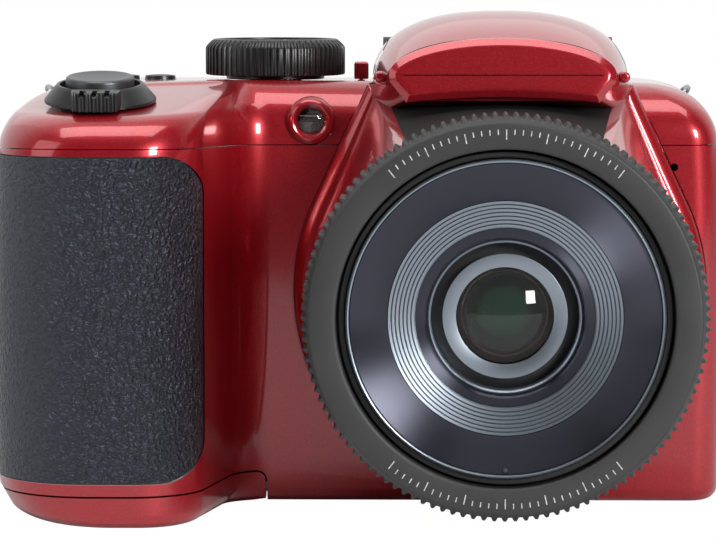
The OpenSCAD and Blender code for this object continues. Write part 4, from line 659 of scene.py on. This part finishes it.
# Strap loops: a bent steel wire 1.1 mm thick on each shoulder, its feet held in the top cover. The
# eye sees grey metal with fine scratches.
LOOP_ANGLE, LOOP_Y, LOOP_HALF, LOOP_H, LOOP_SINK, WIRE_R = np.radians(40), 12.0, 2.8, 1.2, 0.2, 0.55
SHOULDER_IN = SHOULDER_R + 1.4
steel = mottled("drawn_steel", 2500.0, 4.0, {"Metallic": 1.0}, [(0.3, "#84878A"), (0.7, "#A7AAAD")],
                (0.22, 0.42))
bend = np.linspace(0, np.pi, 33)[:, None, None]
ring = np.linspace(0, 2 * np.pi, 20, endpoint=False)[None, :, None]
for side, name in ((-1, "left_loop"), (1, "right_loop")):
    edge_x = BODY_RIGHT if side > 0 else -BODY_LEFT
    shoulder = np.array([edge_x - side * SHOULDER_IN, LOOP_Y, DECK_Z - SHOULDER_R])
    out = np.array([side * np.sin(LOOP_ANGLE), 0, np.cos(LOOP_ANGLE)])
    along, across = np.array([0, 1, 0]), np.array([np.cos(LOOP_ANGLE), 0, -side * np.sin(LOOP_ANGLE)])
    swing = along * np.cos(bend) + out * np.sin(bend)
    rise = LOOP_H * np.sin(bend) - LOOP_SINK
    path = shoulder + out * SHOULDER_R + along * LOOP_HALF * np.cos(bend) + out * rise
    loop = loft(path + WIRE_R * (swing * np.cos(ring) + across * np.sin(ring)))
    strap_loop = make_piece(name, loop, steel)
    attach(strap_loop, "camera_body")
    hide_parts("strap_lugs")

# Flash switch: the red slider beside the flash. A rounded finger block stands on a narrow foot in
# the deck's slot.
SWITCH = (SWITCH_X, SWITCH_Y, DECK_Z)
rows = [(0.3, 0.15), (0.45, 0.0), (2.8, 0.0), (3.05, 0.12), (3.2, 0.35)]
block = stacked(rectangle(-1.2, -2, 1.2, 2, 0.4), rows)
switch_block = make_piece("switch_block", loft(block + SWITCH), lacquer)
foot = prism(rectangle(-0.3, -2, 0.3, 2, 0.1), -2.3, 0.35, UPWARD, SWITCH)
switch_foot = make_piece("switch_foot", foot, lacquer)
for part in (switch_block, switch_foot):
    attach(part, "flash_switch")
    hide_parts("flash_switch")

# Focus lamp: a clear acrylic lens, slightly hazy, in a red turned boss of the top cover. The eye
# sees a dark window with a glint in a red rim.
acrylic = mottled("clear_acrylic", 700.0, 2.0, {
    "Base Color": linear("#F3EDEF"), "IOR": 1.49, "Transmission Weight": 1.0}, gloss=(0.02, 0.08))
LAMP = (LAMP_X, 0, LAMP_Z)
LAMP_BACK, LAMP_FRONT, LAMP_BOW = 14.6, 16.6, 0.5
boss = [[2.15, 12.2], [3.9, 12.2], [3.9, 15.9], [3.82, 16.35], [3.6, 16.75], [3.3, 17.05], [2.95, 17.2],
        [2.7, 17.1], [2.5, 16.7], [2.3, 16.3], [2.15, 16.1]]
lamp_boss = make_piece("lamp_boss", turned(boss, FORWARD, LAMP, 80), lacquer, 40)
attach(lamp_boss, "camera_body")
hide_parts("top_cover")
bow = np.linspace(LAMP_R, 0, 10)
dome = np.column_stack([bow, LAMP_FRONT - LAMP_BOW * (bow / LAMP_R) ** 2])
dome = np.concatenate([[[0, LAMP_BACK], [LAMP_R, LAMP_BACK]], dome])
lamp_lens = make_piece("lamp_lens", turned(dome, FORWARD, LAMP, 64), acrylic)
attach(lamp_lens, "camera_body")
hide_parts("focus_lamp")

# Toothed ring: the dark grey ABS ring round the lens front, pushed onto the lens tube. Its rim has
# 120 rounded teeth that run out on a broad bevel, and its matt face carries two rows of ticks.
RING_TEETH, RING_TOOTH = 120, 0.7
a = np.linspace(0, 2 * np.pi, RING_TEETH * 10, endpoint=False)
tooth = np.clip(0.5 + 0.75 * np.cos(RING_TEETH * a), 0, 1)
rows = np.array([[27.3, 53.5, 0], [30.0, 53.5, 0], [31.0, 53.5, 1], [31.2, 53.8, 1], [31.2, 61.2, 1],
                 [31.13, 61.5, 1], [30.95, 61.75, 0.75], [30.65, 62.05, 0.3], [30.45, 62.3, 0],
                 [30.3, 62.55, 0], [30.1, 63.0, 0], [29.95, 63.3, 0], [29.75, 63.45, 0], [29.5, 63.5, 0],
                 [26.4, 63.5, 0], [26.0, 63.4, 0], [25.85, 63.2, 0], [25.8, 62.6, 0], [25.8, 58.5, 0],
                 [27.3, 58.5, 0]])
rings = polar(rows[:, :1] - RING_TOOTH * rows[:, 2:] * (1 - tooth), a, rows[:, 1:2]) @ FORWARD + CENTRE
faces = np.array(grid_faces(len(rows) + 1, len(a))) % (len(rows) * len(a))
toothed_ring = make_piece("toothed_ring", (rings.reshape(-1, 3), faces.tolist()), grey_abs, 40)
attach(toothed_ring, "camera_body")
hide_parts("lens_ring")

# Ticks of the ring: printed marks of light grey ink, 0.16 mm wide and 0.02 mm proud. Every fifth
# mark is longer. The ink shows as a pale, slightly uneven line.
ink = mottled("pale_grey_ink", 2500.0, 2.0, {"Roughness": 0.6}, [(0.3, "#8E8E90"), (0.6, "#C4C4C6")])
TICKS, TICK_OUTER_R, LONG_TICK, SHORT_TICK, TICK_HALF = 31, 28.9, 1.5, 0.8, 0.08


def radial_marks(degrees, starts, end, half, low, high, axes, origin, r=0.0):
    """Flat marks that run outward at the angles, each from its start to the same end."""
    points, faces = [], []
    for k, (angle, start) in enumerate(zip(np.radians(degrees), starts)):
        mark, sides = prism(rectangle(start, -half, end, half, r), low, high)
        c, s = np.cos(angle), np.sin(angle)
        faces += [[i + len(mark) * k for i in face] for face in sides]
        points.append(mark @ np.array([[c, s, 0], [-s, c, 0], [0, 0, 1]]) @ axes + origin)
    return np.concatenate(points), faces


marks = np.concatenate([np.linspace(128, 52, TICKS), np.linspace(232, 308, TICKS)])
lengths = np.where(np.arange(2 * TICKS) % TICKS % 5 == 0, LONG_TICK, SHORT_TICK)
form = radial_marks(marks, TICK_OUTER_R - lengths, end=TICK_OUTER_R, half=TICK_HALF, low=63.45, high=63.52,
                    axes=FORWARD, origin=CENTRE)
ring_ticks = make_piece("ring_ticks", form, ink)
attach(ring_ticks, "camera_body")

# Barrels: two black telescoping tubes, moulded in ABS, that slide in the lens tube. The front one
# carries the cone and the lens surround.
mid_tube = softened([[24.5, 26.5], [25.5, 26.5], [25.5, 61.5], [24.5, 61.5]], 0.2, 4)
mid_sleeve = make_piece("mid_sleeve", turned(mid_tube, FORWARD, CENTRE, 192), black_abs)
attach(mid_sleeve, "mid_barrel")
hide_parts("mid_barrel")
front_tube = softened([[23.9, 32.0], [24.4, 32.0], [24.4, 62.3], [23.9, 62.3]], 0.05, 3)
front_sleeve = make_piece("front_sleeve", turned(front_tube, FORWARD, CENTRE, 192), black_abs)
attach(front_sleeve, "front_barrel")
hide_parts("front_barrel")

# Front cone: the dished ring inside the front barrel, aluminium turned on a lathe and anodised
# dark. The turning marks stretch each lamp's reflection into a bow tie. Inside it is a band of
# seven grooves in bare aluminium, whose lands catch the light.


def turned_metal(name, colour, roughness, stretch, streak):
    """Aluminium from the lathe: its tangent runs round the axis along the map named turning, and
    rings of slightly other roughness follow the map's second axis."""
    made, tree, _ = new_finish(name)
    line = add(tree, "ShaderNodeTangent", direction_type="UV_MAP", uv_map="turning")
    where = add(tree, "ShaderNodeUVMap", uv_map="turning")
    across = add(tree, "ShaderNodeSeparateXYZ", {"Vector": where.outputs["UV"]})
    mark = add(tree, "ShaderNodeTexNoise", {"W": across.outputs["Y"], "Scale": 400.0, "Detail": 3.0},
               noise_dimensions="1D")
    gloss = add(tree, "ShaderNodeMapRange", {
        "Value": mark.outputs["Fac"], "To Min": roughness - streak, "To Max": roughness + streak})
    shader = add(tree, "ShaderNodeBsdfPrincipled", {
        "Base Color": linear(colour), "Metallic": 1.0, "Roughness": gloss.outputs["Result"],
        "Anisotropic": stretch, "Anisotropic Rotation": 0.25, "Tangent": line.outputs["Tangent"]})
    add(tree, "ShaderNodeOutputMaterial", {"Surface": shader.outputs["BSDF"]})
    return made


spun = turned_metal("dark_anodised_spun_aluminium", "#4C4D57", 0.34, 0.97, 0.03)
land = turned_metal("bare_turned_aluminium", "#8A929C", 0.42, 0.5, 0.08)
bright = turned_metal("satin_turned_aluminium", "#8F97A1", 0.38, 0.4, 0.06)


def turning_map(piece):
    """A UV map whose first axis runs round the lens axis, in turns, unbroken within each face. The
    second is the distance from that axis as a share of MAP_REACH."""
    mesh = piece.data
    corner = np.empty(len(mesh.loops), np.int64)
    mesh.loops.foreach_get("vertex_index", corner)
    co = np.empty(len(mesh.vertices) * 3)
    mesh.vertices.foreach_get("co", co)
    co = co.reshape(-1, 3)[corner] * 1000
    turn = (np.arctan2(co[:, 2] - LENS_Z, co[:, 0]) / (2 * np.pi)).reshape(-1, 4)
    turn = turn - np.round(turn - turn[:, :1])
    span = np.hypot(co[:, 0], co[:, 2] - LENS_Z) / MAP_REACH
    layer = mesh.uv_layers.new(name="turning")
    layer.data.foreach_set("uv", np.column_stack([turn.ravel(), span]).ravel())


DISH_OUT_R, DISH_IN_R, DISH_LOW, DISH_RISE, DISH_POWER = 23.7, 18.05, 61.35, 0.95, 1.5
GROOVES, BAND_OUT_R, BAND_SPAN, BAND_TOP, LAND_FALL = 7, 17.95, 4.2, 61.3, 0.16
MAP_REACH, PIN_SPOT = 50.0, (0, -61.9, LENS_Z - 23.2)
rim = [[22.4, 60.0], [23.87, 60.0], [23.87, 62.1], [23.8, 62.25]]
dish_r = np.linspace(DISH_OUT_R, DISH_IN_R, 16)
dish_share = (dish_r - DISH_IN_R) / (DISH_OUT_R - DISH_IN_R)
dish = np.column_stack([dish_r, DISH_LOW + DISH_RISE * dish_share ** DISH_POWER])
inner = [[18.0, 61.2], [18.0, 60.2], [13.7, 59.5], [13.7, 59.9], [12.4, 59.75], [12.15, 59.5],
         [12.1, 59.1], [12.1, 52.0], [8.5, 52.0], [8.5, 50.0], [13.3, 50.0], [13.3, 57.6]]
form = turned(np.concatenate([rim, dish, inner]), FORWARD, CENTRE, 240)
front_cone = make_piece("spun_cone", form, spun, 28)
share = np.array([0.0, 0.06, 0.72, 0.78, 0.84, 0.94])
drop = np.array([0.0, 0.08, 0.08, 0.0, -0.25, -0.25])
step = np.arange(GROOVES)[:, None] + share
lands = np.column_stack([(BAND_OUT_R - step * BAND_SPAN / GROOVES).ravel(),
                         (BAND_TOP - step * LAND_FALL + drop).ravel()])
form = turned(np.concatenate([[[13.75, 59.3], [BAND_OUT_R, 60.1]], lands]), FORWARD, CENTRE, 240)
groove_ring = make_piece("groove_ring", form, land, 28)
bevel_profile = [[23.88, 62.05], [24.42, 62.32], [24.42, 62.6], [24.1, 63.0], [23.88, 62.9]]
bevel_profile = softened(bevel_profile, 0.04, 3)
bevel_ring = make_piece("bevel_ring", turned(bevel_profile, FORWARD, CENTRE, 240), bright)
for part in (front_cone, groove_ring, bevel_ring):
    turning_map(part)
    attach(part, "front_barrel")
    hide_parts("front_cone")
pin = soft_cap([[0, -0.5], [0.45, -0.5], [0.45, 0.55], [0, 0.55]], 0.3)
guide_pin = make_piece("guide_pin", turned(pin, FORWARD, PIN_SPOT, 32), grey_abs)
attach(guide_pin, "front_barrel")

# Lens surround: a thin bright ring and a flat silver ring, both turned aluminium, round the front
# lens. They are fixed in the cone's bore.
thin = softened([[11.37, 54.6], [12.07, 54.6], [12.07, 58.4], [11.67, 58.7], [11.37, 58.4]], 0.08, 3)
thin_ring = make_piece("thin_bright_ring", turned(thin, FORWARD, CENTRE, 160), bright)
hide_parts("inner_ring")
flat = softened([[7.5, 56.4], [9.5, 55.4], [9.62, 57.4], [7.5, 57.2]], 0.06, 4)
flat_ring = make_piece("flat_silver_ring", turned(flat, FORWARD, CENTRE, 160), bright)
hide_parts("silver_ring")
for part in (thin_ring, flat_ring):
    turning_map(part)
    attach(part, "front_barrel")
shelf = softened([[9.4, 54.4], [11.4, 54.4], [11.4, 55.2], [9.4, 55.6]], 0.1, 3)
black_shelf = make_piece("black_shelf", turned(shelf, FORWARD, CENTRE, 128), black_abs)
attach(black_shelf, "front_barrel")
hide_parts("silver_ring")

# Lenses: ground and coated optical glass. The coating tints the reflections. Behind the front lens
# sit a funnel whose brown-black tone is painted shade with a painted red-brown reflection, and a
# small green-coated lens whose near-black base colour is painted shade, for the dark inside the lens.
glass = mottled("coated_optical_glass", 500.0, 2.0, {
    "Base Color": linear("#EEF2F1"), "IOR": 1.38, "Transmission Weight": 1.0}, gloss=(0.0, 0.03))


def lens_profile(r, back, crown, curve):
    """Half the outline of a lens of radius r with a flat back. At a distance q from the axis its
    front is at the crown, less the curve's radius, plus the root of that radius squared less q squared."""
    reach = r * np.sin(np.linspace(0, 1, 16) * np.pi / 2)[::-1]
    front = np.column_stack([reach, crown - curve + np.sqrt(curve ** 2 - reach ** 2)])
    return np.concatenate([[[0, back], [r, back]], front])


form = turned(lens_profile(r=7.45, back=54.3, crown=57.0, curve=14.0), FORWARD, CENTRE, 128)
front_element = make_piece("front_element", form, glass)
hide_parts("front_lens")
# Painted shade and painted reflection: the funnel's brown-black tones stand for the dark inside the lens
# and the red-brown glow at its rim.
painted_shade_funnel_finish = mottled("painted_shade_and_reflection_funnel", 300.0, 2.0, {"Roughness": 0.38, "Metallic": 0.4},
                        [(0.3, "#1A0907"), (0.8, "#33130E")])
funnel_profile = [[0, 49.0], [7.6, 49.0], [7.6, 54.2], [7.4, 54.2], [6.2, 52.2], [5.9, 52.2], [5.0, 50.6],
                  [4.2, 50.5], [0, 50.3]]
lens_funnel = make_piece("lens_funnel", turned(funnel_profile, FORWARD, CENTRE, 96), painted_shade_funnel_finish)
# Painted shade: this lens's near-black base colour stands for the dark behind it. The green tint is the
# coating's reflection.
green_coat_painted_shade = mottled("green_coated_painted_shade_lens", 200.0, 1.0, {
    "Roughness": 0.03, "IOR": 1.45, "Specular Tint": linear("#6FE0A0")}, [
        (0.3, "#020302"), (0.7, "#050806")])
form = turned(lens_profile(r=5.6, back=49.6, crown=52.6, curve=8.0), FORWARD, CENTRE, 96)
inner_element = make_piece("inner_element", form, green_coat_painted_shade)
for part in (front_element, lens_funnel, inner_element):
    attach(part, "front_barrel")
for name in ("zoom_lens", "focus_lens"):
    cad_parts[name].material_slots[0].material = glass

# Mode dial: a near-black ABS knob with 64 ribs that run onto its bevel, and a sunk top with ticks,
# on a shaft through the deck.
RIBS, RIB_DEPTH, DIAL = 64, 0.42, (DIAL_X, DIAL_Y, DECK_Z)
a = np.linspace(0, 2 * np.pi, RIBS * 12, endpoint=False)
rib = np.clip(0.5 + 0.9 * np.cos(RIBS * a), 0, 1)
rows = np.array([[3.0, 0.3, 0], [8.2, 0.3, 0], [8.3, 0.4, 0], [8.3, 0.95, 0], [11.2, 0.95, 0],
                 [11.7, 1.05, 1], [11.8, 1.3, 1], [11.8, 5.5, 1], [11.72, 5.75, 1], [11.5, 6.05, 1],
                 [11.1, 6.45, 0.8], [10.75, 6.75, 0.4], [10.5, 6.93, 0], [10.3, 7.02, 0], [10.0, 7.05, 0],
                 [9.6, 7.05, 0], [9.42, 6.97, 0], [9.4, 6.75, 0], [9.35, 6.67, 0], [9.2, 6.65, 0],
                 [3.0, 6.65, 0]])
rings = polar(rows[:, :1] - RIB_DEPTH * rows[:, 2:] * (1 - rib), a, rows[:, 1:2])
mode_dial = make_piece("ribbed_dial", loft(rings + DIAL), dark_abs)
stem = soft_cap([[0, -6.0], [2.95, -6.0], [2.95, 1.2], [0, 1.2]], 0.2)
dial_stem = make_piece("dial_stem", turned(stem, UPWARD, DIAL, 48), dark_abs)
for part in (mode_dial, dial_stem):
    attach(part, "mode_dial")
    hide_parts("mode_dial")
form = radial_marks(40 * np.arange(9), [3.2] + [5.6] * 8, end=8.2, half=0.22, low=6.6, high=6.68,
                    axes=UPWARD, origin=DIAL, r=0.2)
dial_ticks = make_piece("dial_ticks", form, ink)
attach(dial_ticks, "mode_dial")

# Zoom lever: a conical near-black ABS skirt round the shutter button with a fluted finger tab in
# front and a small bevel at its top. Three grooves run back over the tab.
LEVER_R, TAB_HALF, TAB_OUT, TAB_BOW, FLUTES, FLUTE_DEPTH = 8.95, 3.5, 2.4, 0.045, 6, 0.42
GROOVE_HALF, GROOVE_STEP = 0.4, 1.98
skirt = [[6.45, 0.3], [LEVER_R, 0.3], [LEVER_R, 0.8], [7.2, 2.9], [6.9, 3.2], [6.45, 3.2]]
lever_skirt = make_piece("lever_skirt", turned(softened(skirt, 0.12, 4), SLOPING, SHUTTER, 128), dark_abs)
flute = np.linspace(-TAB_HALF, TAB_HALF, 113)
wave = 0.5 - 0.5 * np.cos(np.pi * (flute + TAB_HALF) / TAB_HALF * FLUTES)
tab_front = np.column_stack([flute, FLUTE_DEPTH * wave + TAB_BOW * flute ** 2 - LEVER_R - TAB_OUT])
tab_rear = [[3.95, -8.3], [3.95, -7.2], [2.2, -6.9], [0, -6.85], [-2.2, -6.9], [-3.95, -7.2], [-3.95, -8.3]]
rows = [(0.4, 0.2), (0.55, 0.04), (0.8, 0), (3.1, 0), (3.35, 0.08), (3.5, 0.28)]
rings = stacked(np.concatenate([tab_front, tab_rear]), rows)
lever_tab = make_piece("lever_tab", loft(rings @ SLOPING + np.array(SHUTTER)), dark_abs)
groove = rectangle(-GROOVE_HALF, -12.5, GROOVE_HALF, -8.4)
carve(lever_tab, "DIFFERENCE", *[prism(groove + [x, 0], 2.8, 5, SLOPING, SHUTTER)
                                 for x in (-GROOVE_STEP, 0, GROOVE_STEP)])
for part in (lever_skirt, lever_tab):
    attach(part, "zoom_lever")
    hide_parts("zoom_lever")

# Shutter button: a satin grey cap of anodised aluminium, dished for the finger, in a fixed black
# sleeve. The eye sees a soft grey with a brighter edge.
anodised = mottled("grey_anodised_aluminium", 6000.0, 2.0, {
    "Base Color": linear("#57585B"), "Metallic": 0.8}, gloss=(0.32, 0.46))
CAP_H, CAP_R, HOLLOW_R, HOLLOW_DEPTH = 4.4, 5.5, 5.0, 0.5
cap = soft_cap([[0, -2], [CAP_R, -2], [CAP_R, CAP_H], [0, CAP_H]], 0.55)
dished = np.linspace(HOLLOW_R, 0, 12)[1:]
sunk = HOLLOW_DEPTH * (1 - (dished / HOLLOW_R) ** 2)
cap = np.concatenate([cap[:-1], np.column_stack([dished, CAP_H - sunk])])
button_cap = make_piece("shutter_cap", turned(cap, SLOPING, SHUTTER, 96), anodised)
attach(button_cap, "shutter_button")
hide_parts("shutter_button")

# Power and burst buttons and the three rear keys: near-black ABS caps, slightly domed, in bores of
# the covers. A flange keeps each cap in.
CROWN_EDGE, CROWN_H, FLANGE_W, FLANGE_LOW, FLANGE_TOP = 0.35, 0.15, 0.8, -3.1, -2.2
for name, axes, centre, r, proud in (
        [("power_button", UPWARD, (POWER_X, POWER_Y, DECK_Z), POWER_R, 1.4),
         ("burst_button", UPWARD, (BURST_X, BURST_Y, DECK_Z), BURST_R, 0.9)]
        + [(key, REARWARD, (x, BODY_REAR, z), KEY_R, 0.8) for key, (x, z) in KEYS.items()]):
    crown_r, flange_r = r - CROWN_EDGE, r + FLANGE_W
    crown = np.linspace(crown_r, 0, 8)
    low = [[0, FLANGE_LOW], [flange_r, FLANGE_LOW], [flange_r, FLANGE_TOP], [r, FLANGE_TOP],
           [r, proud - 0.5], [r - 0.08, proud - 0.2]]
    cap = np.concatenate([low, np.column_stack([crown, proud - CROWN_H * (crown / crown_r) ** 2])])
    key_cap = make_piece(name + "_cap", turned(cap, axes, centre, 64), dark_abs)
    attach(key_cap, name)
    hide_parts(name)

# Four-way pad: a near-black ABS ring, hollow toward its middle, that rocks on the key board, with
# the round set button in it. Four printed ticks mark the ways.
PAD = (PAD_X, BODY_REAR, PAD_Z)
SET_CROWN_R = 3.6
pad_profile = softened([[4.3, -1.8], [9.5, -1.8], [9.5, 0.2], [8.9, 0.8], [5.6, 0.5], [4.3, 0.2]], 0.25, 5)
pad_ring = make_piece("pad_ring", turned(pad_profile, REARWARD, PAD, 96), dark_abs)
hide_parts("four_way_pad")
form = radial_marks(90 * np.arange(4), [6.4] * 4, end=8.0, half=0.3, low=0.5, high=0.68,
                    axes=REARWARD, origin=PAD, r=0.25)
pad_ticks = make_piece("pad_ticks", form, ink)
for part in (pad_ring, pad_ticks):
    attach(part, "four_way_pad")
crown = np.linspace(SET_CROWN_R, 0, 8)
crown = np.column_stack([crown, 0.6 + 0.1 * crown / SET_CROWN_R])
cap = np.concatenate([[[0, -2.4], [4, -2.4], [4, 0.25], [3.92, 0.5]], crown])
set_cap = make_piece("set_cap", turned(cap, REARWARD, PAD, 64), dark_abs)
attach(set_cap, "set_button")
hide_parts("set_button")

# Screen: a sheet of dark glass bonded into the rear cover over the panel. The eye sees a black
# mirror with faint smears.
screen_glass = mottled("dark_screen_glass", 60.0, 4.0, {
    "Base Color": linear("#0A0A0E"), "IOR": 1.52}, gloss=(0.02, 0.14))
pane = rectangle(-SCREEN_W / 2, -SCREEN_H / 2, SCREEN_W / 2, SCREEN_H / 2, SCREEN_R)
rings = stacked(pane, [(-1.9, 0), (0.15, 0), (0.32, 0.08), (0.4, 0.25)])
rings = rings @ REARWARD + [SCREEN_X, BODY_REAR, SCREEN_Z]
screen_pane = make_piece("screen_pane", loft(rings), screen_glass)
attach(screen_pane, "camera_body")
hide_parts("screen_window")

# Side flap: a black ABS cover over the socket, with a rounded edge, that swings out on its rear
# edge. The eye sees an even satin black.
rows = [(-PORT_T, 0.1), (-PORT_T + 0.1, 0), (-0.3, 0), (-0.08, 0.1), (0, 0.35)]
rings = stacked(rectangle(*PORT_LOW, *PORT_HIGH, 0.5), rows) + [0, 0, PORT_X]
port_flap = make_piece("port_flap", loft(rings @ RIGHTWARD), black_abs)
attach(port_flap, "port_cover")
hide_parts("port_cover")

# Inner works: the parts that keep their first shape get a finish. The hinges and contacts are steel,
# the nut and pinion yellow brass, the boards green solder mask over copper lines, and the cells have
# printed dark grey sleeves.
brass = mottled("turned_brass", 2500.0, 4.0, {"Metallic": 1.0, "Roughness": 0.3},
                [(0.3, "#8F6F34"), (0.7, "#B8924C")])
mask, tree, place = new_finish("green_solder_mask")
lines = add(tree, "ShaderNodeTexVoronoi", {"Vector": place, "Scale": 500.0}, distance="MANHATTAN")
tone = add(tree, "ShaderNodeValToRGB", {"Fac": lines.outputs["Distance"]}, [
    (0.1, linear("#8A7A3A")), (0.16, linear("#1C5A38")), (0.6, linear("#123F28"))])
shader = add(tree, "ShaderNodeBsdfPrincipled", {
    "Base Color": tone.outputs["Color"], "Roughness": 0.35, "Coat Weight": 0.4})
add(tree, "ShaderNodeOutputMaterial", {"Surface": shader.outputs["BSDF"]})
sleeve, tree, place = new_finish("printed_cell_sleeve")
rise = add(tree, "ShaderNodeSeparateXYZ", {"Vector": place})
share = add(tree, "ShaderNodeMapRange", {"Value": rise.outputs["Z"], "From Min": 0.005, "From Max": 0.06})
tone = add(tree, "ShaderNodeValToRGB", {"Fac": share.outputs["Result"]}, [
    (0.02, linear("#A8ABAF")), (0.05, linear("#2A2D33")),
    (0.7, linear("#31343B")), (0.74, linear("#A77B3C"))])
shader = add(tree, "ShaderNodeBsdfPrincipled", {
    "Base Color": tone.outputs["Color"], "Metallic": 0.5, "Roughness": 0.3})
add(tree, "ShaderNodeOutputMaterial", {"Surface": shader.outputs["BSDF"]})
for finish, names in (
        (black_abs, ("lens_tube", "flash_frame", "flash_brackets", "shutter_sleeve", "dial_bushing",
                     "battery_holder", "flash_capacitor", "focus_carriage")),
        (grey_abs, ("battery_latch", "cam_ring", "lens_base", "image_sensor", "screen_panel")),
        (steel, ("door_hinge_leaf", "door_hinge_base", "door_hinge_pin", "flash_hinge_pin", "zoom_motor",
                 "focus_rods", "card_slot", "usb_socket", "flash_reflector", "cell_contacts")),
        (brass, ("zoom_pinion", "tripod_nut")), (mask, ("main_board", "key_board")),
        (sleeve, ("battery_cells",)), (acrylic, ("flash_window",))):
    for name in names:
        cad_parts[name].material_slots[0].material = finish

# Studio: a white sheet that keeps the shadow and ends before the object, where the room is dark, a
# white surround behind, four soft lamps and the camera at the photograph's height and distance.
SHEET_END, SHEET_FAR, SHEET_HALF, SHEET_Z, FILL = -420, 6000, 4000, -0.02, 0.25
PHOTO_LENS, PHOTO_SENSOR, PHOTO_TILT, PHOTO_TURN = 177.417, 36.0, 0.08854, 0.01935
PHOTO_SPOT = (-0.01212, -0.59552, 0.09004)
sheet = rectangle(-SHEET_HALF, SHEET_END, SHEET_HALF, SHEET_FAR)
floor = make_piece("floor", (np.column_stack([sheet, np.full(4, SHEET_Z)]), [[0, 1, 2, 3]]))
paper, tree, place = new_finish("white_paper")
ray = add(tree, "ShaderNodeLightPath")
tooth_noise = add(tree, "ShaderNodeTexNoise", {"Vector": place, "Scale": 800.0, "Detail": 2.0})
tone = add(tree, "ShaderNodeValToRGB", {"Fac": tooth_noise.outputs["Fac"]}, [
    (0.3, (0.79, 0.79, 0.79, 1)), (0.7, (0.81, 0.81, 0.81, 1))])
seen = add(tree, "ShaderNodeEmission", {"Color": (1, 1, 1, 1), "Strength": 1.12})
matt = add(tree, "ShaderNodeBsdfDiffuse", {"Color": tone.outputs["Color"]})
mixed = add(tree, "ShaderNodeMixShader", {"Fac": 0.88, 1: matt.outputs[0], 2: seen.outputs[0]})
shader = add(tree, "ShaderNodeMixShader", {
    "Fac": ray.outputs["Is Camera Ray"], 1: matt.outputs[0], 2: mixed.outputs[0]})
add(tree, "ShaderNodeOutputMaterial", {"Surface": shader.outputs[0]})
floor.data.materials.append(paper)

world = bpy.data.worlds.new("white_studio")
bpy.context.scene.world = world
world.use_nodes = True
tree = world.node_tree
tree.nodes.clear()
ray = add(tree, "ShaderNodeLightPath")
shown = add(tree, "ShaderNodeMath", {
    0: ray.outputs["Is Camera Ray"], 1: ray.outputs["Is Transmission Ray"]}, operation="MAXIMUM")
way = add(tree, "ShaderNodeSeparateXYZ", {"Vector": add(tree, "ShaderNodeTexCoord").outputs["Generated"]})
behind = add(tree, "ShaderNodeMapRange", {
    "Value": way.outputs["Y"], "From Min": -0.15, "From Max": 0.35, "To Min": 0.02, "To Max": 0.9})
mirrored = add(tree, "ShaderNodeMath", {
    0: ray.outputs["Is Glossy Ray"], 1: behind.outputs["Result"]}, operation="MULTIPLY")
level = add(tree, "ShaderNodeMath", {0: shown.outputs[0], 1: mirrored.outputs[0]}, operation="MAXIMUM")
fill = add(tree, "ShaderNodeMath", {0: ray.outputs["Is Diffuse Ray"], 1: FILL}, operation="MULTIPLY")
level = add(tree, "ShaderNodeMath", {0: level.outputs[0], 1: fill.outputs[0]}, operation="MAXIMUM")
sky = add(tree, "ShaderNodeBackground", {"Color": (1, 1, 1, 1), "Strength": level.outputs[0]})
add(tree, "ShaderNodeOutputWorld", {"Surface": sky.outputs[0]})

for name, spot, aim, width, height, watts in (
        ("lamp_back", (0.0, 0.75, 0.85), (0, 0, 0.04), 1.6, 0.9, 1.5),
        ("lamp_top", (-0.05, -0.25, 0.95), (0, 0, 0.04), 1.0, 0.5, 6.5),
        ("lamp_right", (0.50, -0.75, 0.29), (0, 0, 0.04), 0.19, 0.25, 6.6),
        ("lamp_left", (-0.85, -0.45, 0.40), (-0.03, 0, 0.03), 0.5, 0.7, 1.9)):
    light = bpy.data.lights.new(name, "AREA")
    light.shape, light.size, light.size_y, light.energy = "RECTANGLE", width, height, watts
    lamp = bpy.data.objects.new(name, light)
    lamp.location = spot
    lamp.rotation_euler = (Vector(aim) - Vector(spot)).to_track_quat("-Z", "Y").to_euler()
    bpy.context.scene.collection.objects.link(lamp)

lens = bpy.data.cameras.new("camera")
lens.lens, lens.sensor_width = PHOTO_LENS, PHOTO_SENSOR
camera = bpy.data.objects.new("camera", lens)
camera.location = PHOTO_SPOT
camera.rotation_euler = (np.pi / 2 - PHOTO_TILT, 0, PHOTO_TURN)
bpy.context.scene.collection.objects.link(camera)
bpy.context.scene.camera = camera
bpy.context.scene.view_settings.view_transform = "Standard"
